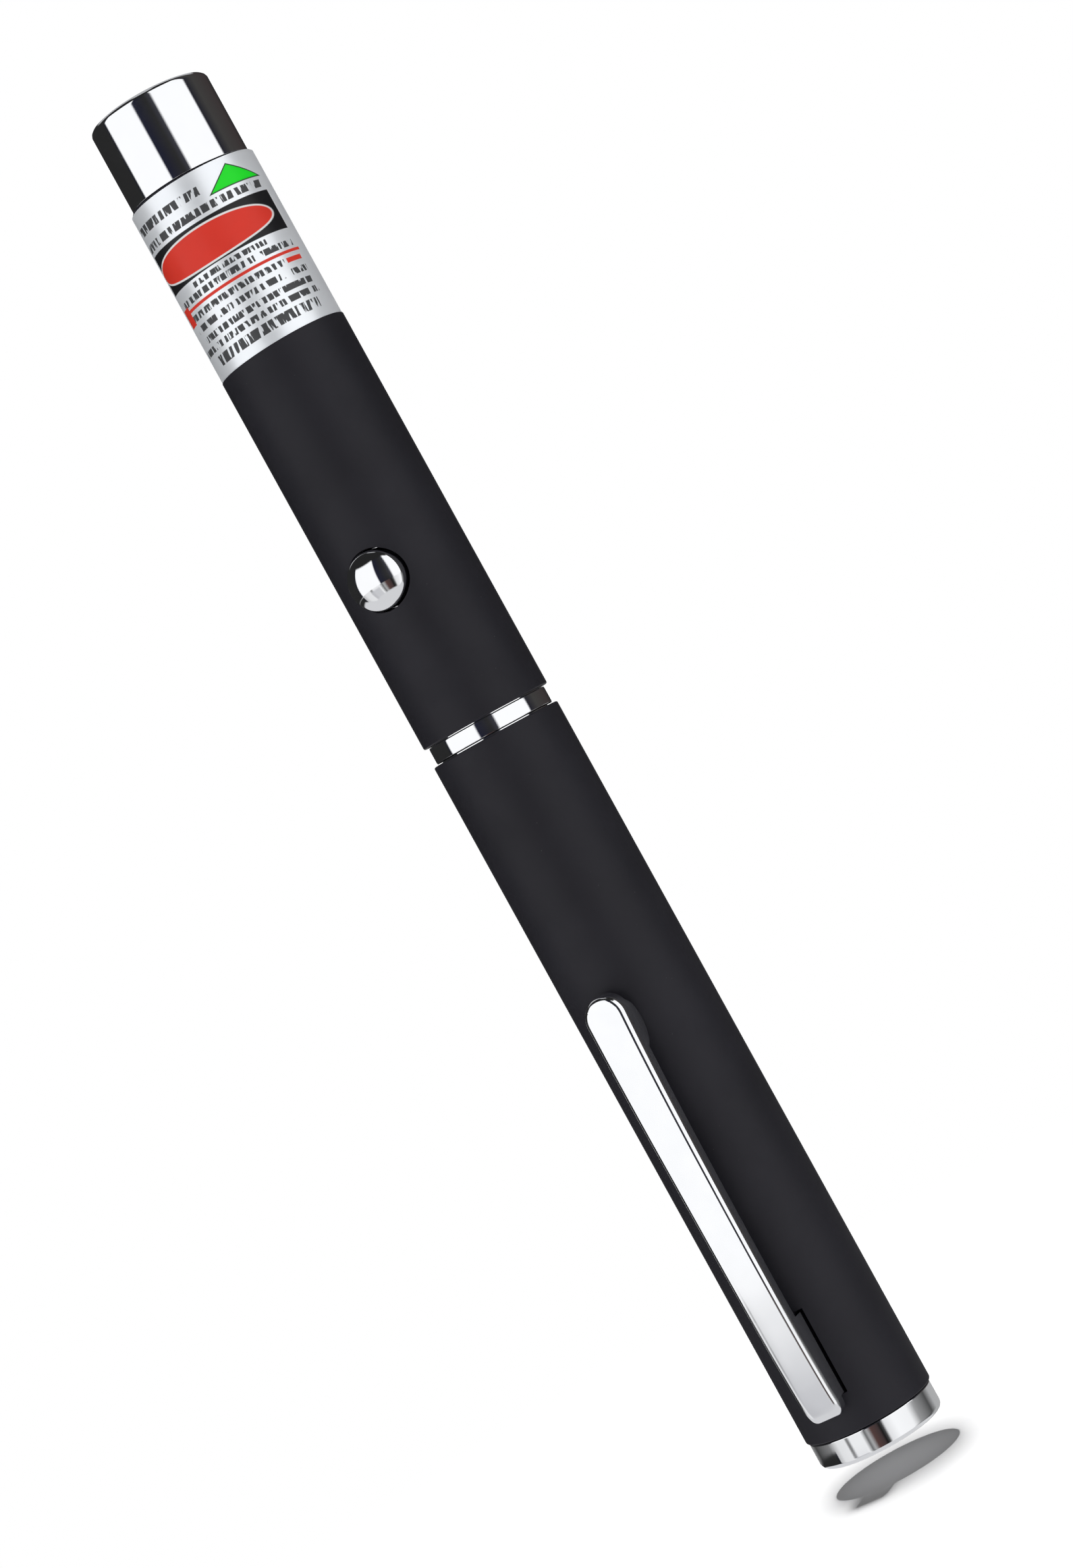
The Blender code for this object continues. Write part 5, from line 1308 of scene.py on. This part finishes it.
def room_light(studio):
    """A white room for the camera and an even light. What shines sees soft panels and the dark between them."""
    world = bpy.data.worlds.new("Studio room")
    world.use_nodes = True
    bpy.context.scene.world = world
    tree = world.node_tree
    tree.nodes.clear()
    way = node(tree, "ShaderNodeTexCoord").outputs["Generated"]
    x, y, rise = parts_of(tree, way)
    azimuth = calc(tree, "ARCTAN2", x, calc(tree, "MULTIPLY", y, -1.0))
    turned = calc(tree, "WRAP", calc(tree, "SUBTRACT", azimuth, studio.azimuth), math.pi, -math.pi)
    shiny = shining_room(tree, studio, turned, rise)
    towards_camera = (math.sin(studio.azimuth), -math.cos(studio.azimuth), LIGHT_TILT)
    facing = vector_calc(tree, "DOT_PRODUCT", way, towards_camera, output="Value")
    even = rescale(tree, facing, -1.0, 1.0, studio.light_behind, studio.light_before)
    even = calc(tree, "MULTIPLY", even, rescale(tree, rise, *HIGH_LIGHT_FADE))
    rays = node(tree, "ShaderNodeLightPath").outputs
    light = blend(tree, rays["Is Glossy Ray"], even, shiny)
    light = blend(tree, seen_share(tree, rays), light, WHITE)
    node(tree, "ShaderNodeOutputWorld", {0: node(tree, "ShaderNodeBackground", {0: light, 1: 1.0}).outputs[0]})


def make_floor(studio):
    """A pale floor that takes the pen's shadow and fades into the white room."""
    bm = bmesh.new()
    bmesh.ops.create_grid(bm, x_segments=1, y_segments=1, size=FLOOR_REACH)
    bmesh.ops.translate(bm, verts=bm.verts, vec=(0, 0, -studio.drop))
    floor = mesh_object("floor", bm)
    material = bpy.data.materials.new("Studio floor")
    material.use_nodes = True
    tree = material.node_tree
    tree.nodes.clear()
    place = node(tree, "ShaderNodeTexCoord").outputs["Object"]
    far = rescale(tree, length_of(tree, place), *FLOOR_FADE, kind="SMOOTHSTEP")
    grain = noise(tree, scaled(tree, place, FLOOR_FLECK_SCALE), 2.0)
    paint = blend(tree, rescale(tree, grain, 0.3, 0.7), colour_of(studio.floor), FLOOR_FLECK_TONE)
    matt = node(tree, "ShaderNodeBsdfDiffuse", {0: paint}).outputs[0]
    white = node(tree, "ShaderNodeEmission", {0: WHITE, 1: 1.0}).outputs[0]
    share = calc(tree, "MULTIPLY", seen_share(tree, node(tree, "ShaderNodeLightPath").outputs), far)
    mixed = node(tree, "ShaderNodeMixShader", {0: share, 1: matt, 2: white})
    node(tree, "ShaderNodeOutputMaterial", {0: mixed.outputs[0]})
    floor.data.materials.append(material)
    floor.visible_glossy = False


def hang_lamp(studio):
    """A lamp straight overhead, longer in depth, so that the shadow is a soft oval under the tail."""
    lamp = bpy.data.lights.new("Top lamp", "AREA")
    lamp.shape = "ELLIPSE"
    lamp.size, lamp.size_y = LAMP_SPAN
    lamp.energy = studio.lamp
    hung = bpy.data.objects.new("Top lamp", lamp)
    hung.visible_glossy = False
    back = Vector((-math.sin(studio.azimuth), math.cos(studio.azimuth), 0))
    hung.location = back * LAMP_SETBACK + Vector((0, 0, LAMP_HEIGHT))
    hung.rotation_euler = (0, 0, studio.azimuth)
    bpy.context.scene.collection.objects.link(hung)


def set_camera(studio):
    """Look level at the pen, with the camera rolled so that the nose points up and to the left."""
    away = Vector((math.sin(studio.azimuth), -math.cos(studio.azimuth), 0))
    right = Vector((math.cos(studio.azimuth), math.sin(studio.azimuth), 0))
    up = Vector((0, 0, 1))
    picture_up = up * math.cos(studio.roll) + right * math.sin(studio.roll)
    picture_right = right * math.cos(studio.roll) - up * math.sin(studio.roll)
    data = bpy.data.cameras.new("Camera")
    data.lens = studio.focal
    data.sensor_width = SENSOR_WIDTH
    data.clip_start = NEAREST_SEEN
    camera = bpy.data.objects.new("Camera", data)
    turn = Matrix((picture_right, picture_up, away)).transposed().to_4x4()
    place = away * studio.distance + right * studio.side + up * studio.height
    camera.matrix_world = Matrix.Translation(place) @ turn
    bpy.context.scene.collection.objects.link(camera)
    bpy.context.scene.camera = camera


class LASERPEN_OT_stage(Operator):
    """Set the floor, the room's light, the lamp and the camera"""

    bl_idname = "laser_pen.stage"
    bl_label = "Stage"

    def execute(self, context):
        studio = settings().studio
        room_light(studio)
        make_floor(studio)
        hang_lamp(studio)
        set_camera(studio)
        context.scene.view_settings.view_transform = "Standard"
        return {"FINISHED"}


STEPS = (
    LASERPEN_OT_rear_barrel,
    LASERPEN_OT_front_barrel,
    LASERPEN_OT_coupling_ring,
    LASERPEN_OT_nose,
    LASERPEN_OT_tail_cap,
    LASERPEN_OT_label,
    LASERPEN_OT_button,
    LASERPEN_OT_clip,
    LASERPEN_OT_inside,
    LASERPEN_OT_stage,
)


class LASERPEN_PT_panel(Panel):
    """Lists the pen's pieces and what can be changed"""

    bl_label = "Laser pointer pen"
    bl_space_type = "VIEW_3D"
    bl_region_type = "UI"
    bl_category = "Laser pen"

    def draw(self, context):
        for step in STEPS:
            self.layout.operator(step.bl_idname)
        pen = context.scene.laser_pen
        for group in (pen.sizes, pen.colours, pen.studio):
            box = self.layout.box()
            for name in type(group).__annotations__:
                box.prop(group, name)


CLASSES = (LaserPenSizes, LaserPenColours, LaserPenStudio, LaserPenSettings, *STEPS, LASERPEN_PT_panel)


def register():
    for cls in CLASSES:
        bpy.utils.register_class(cls)
    bpy.types.Scene.laser_pen = PointerProperty(type=LaserPenSettings)


def unregister():
    del bpy.types.Scene.laser_pen
    for cls in reversed(CLASSES):
        bpy.utils.unregister_class(cls)


def main():
    register()
    for step in STEPS:
        area, name = step.bl_idname.split(".")
        getattr(getattr(bpy.ops, area), name)()


if __name__ == "__main__":
    main()
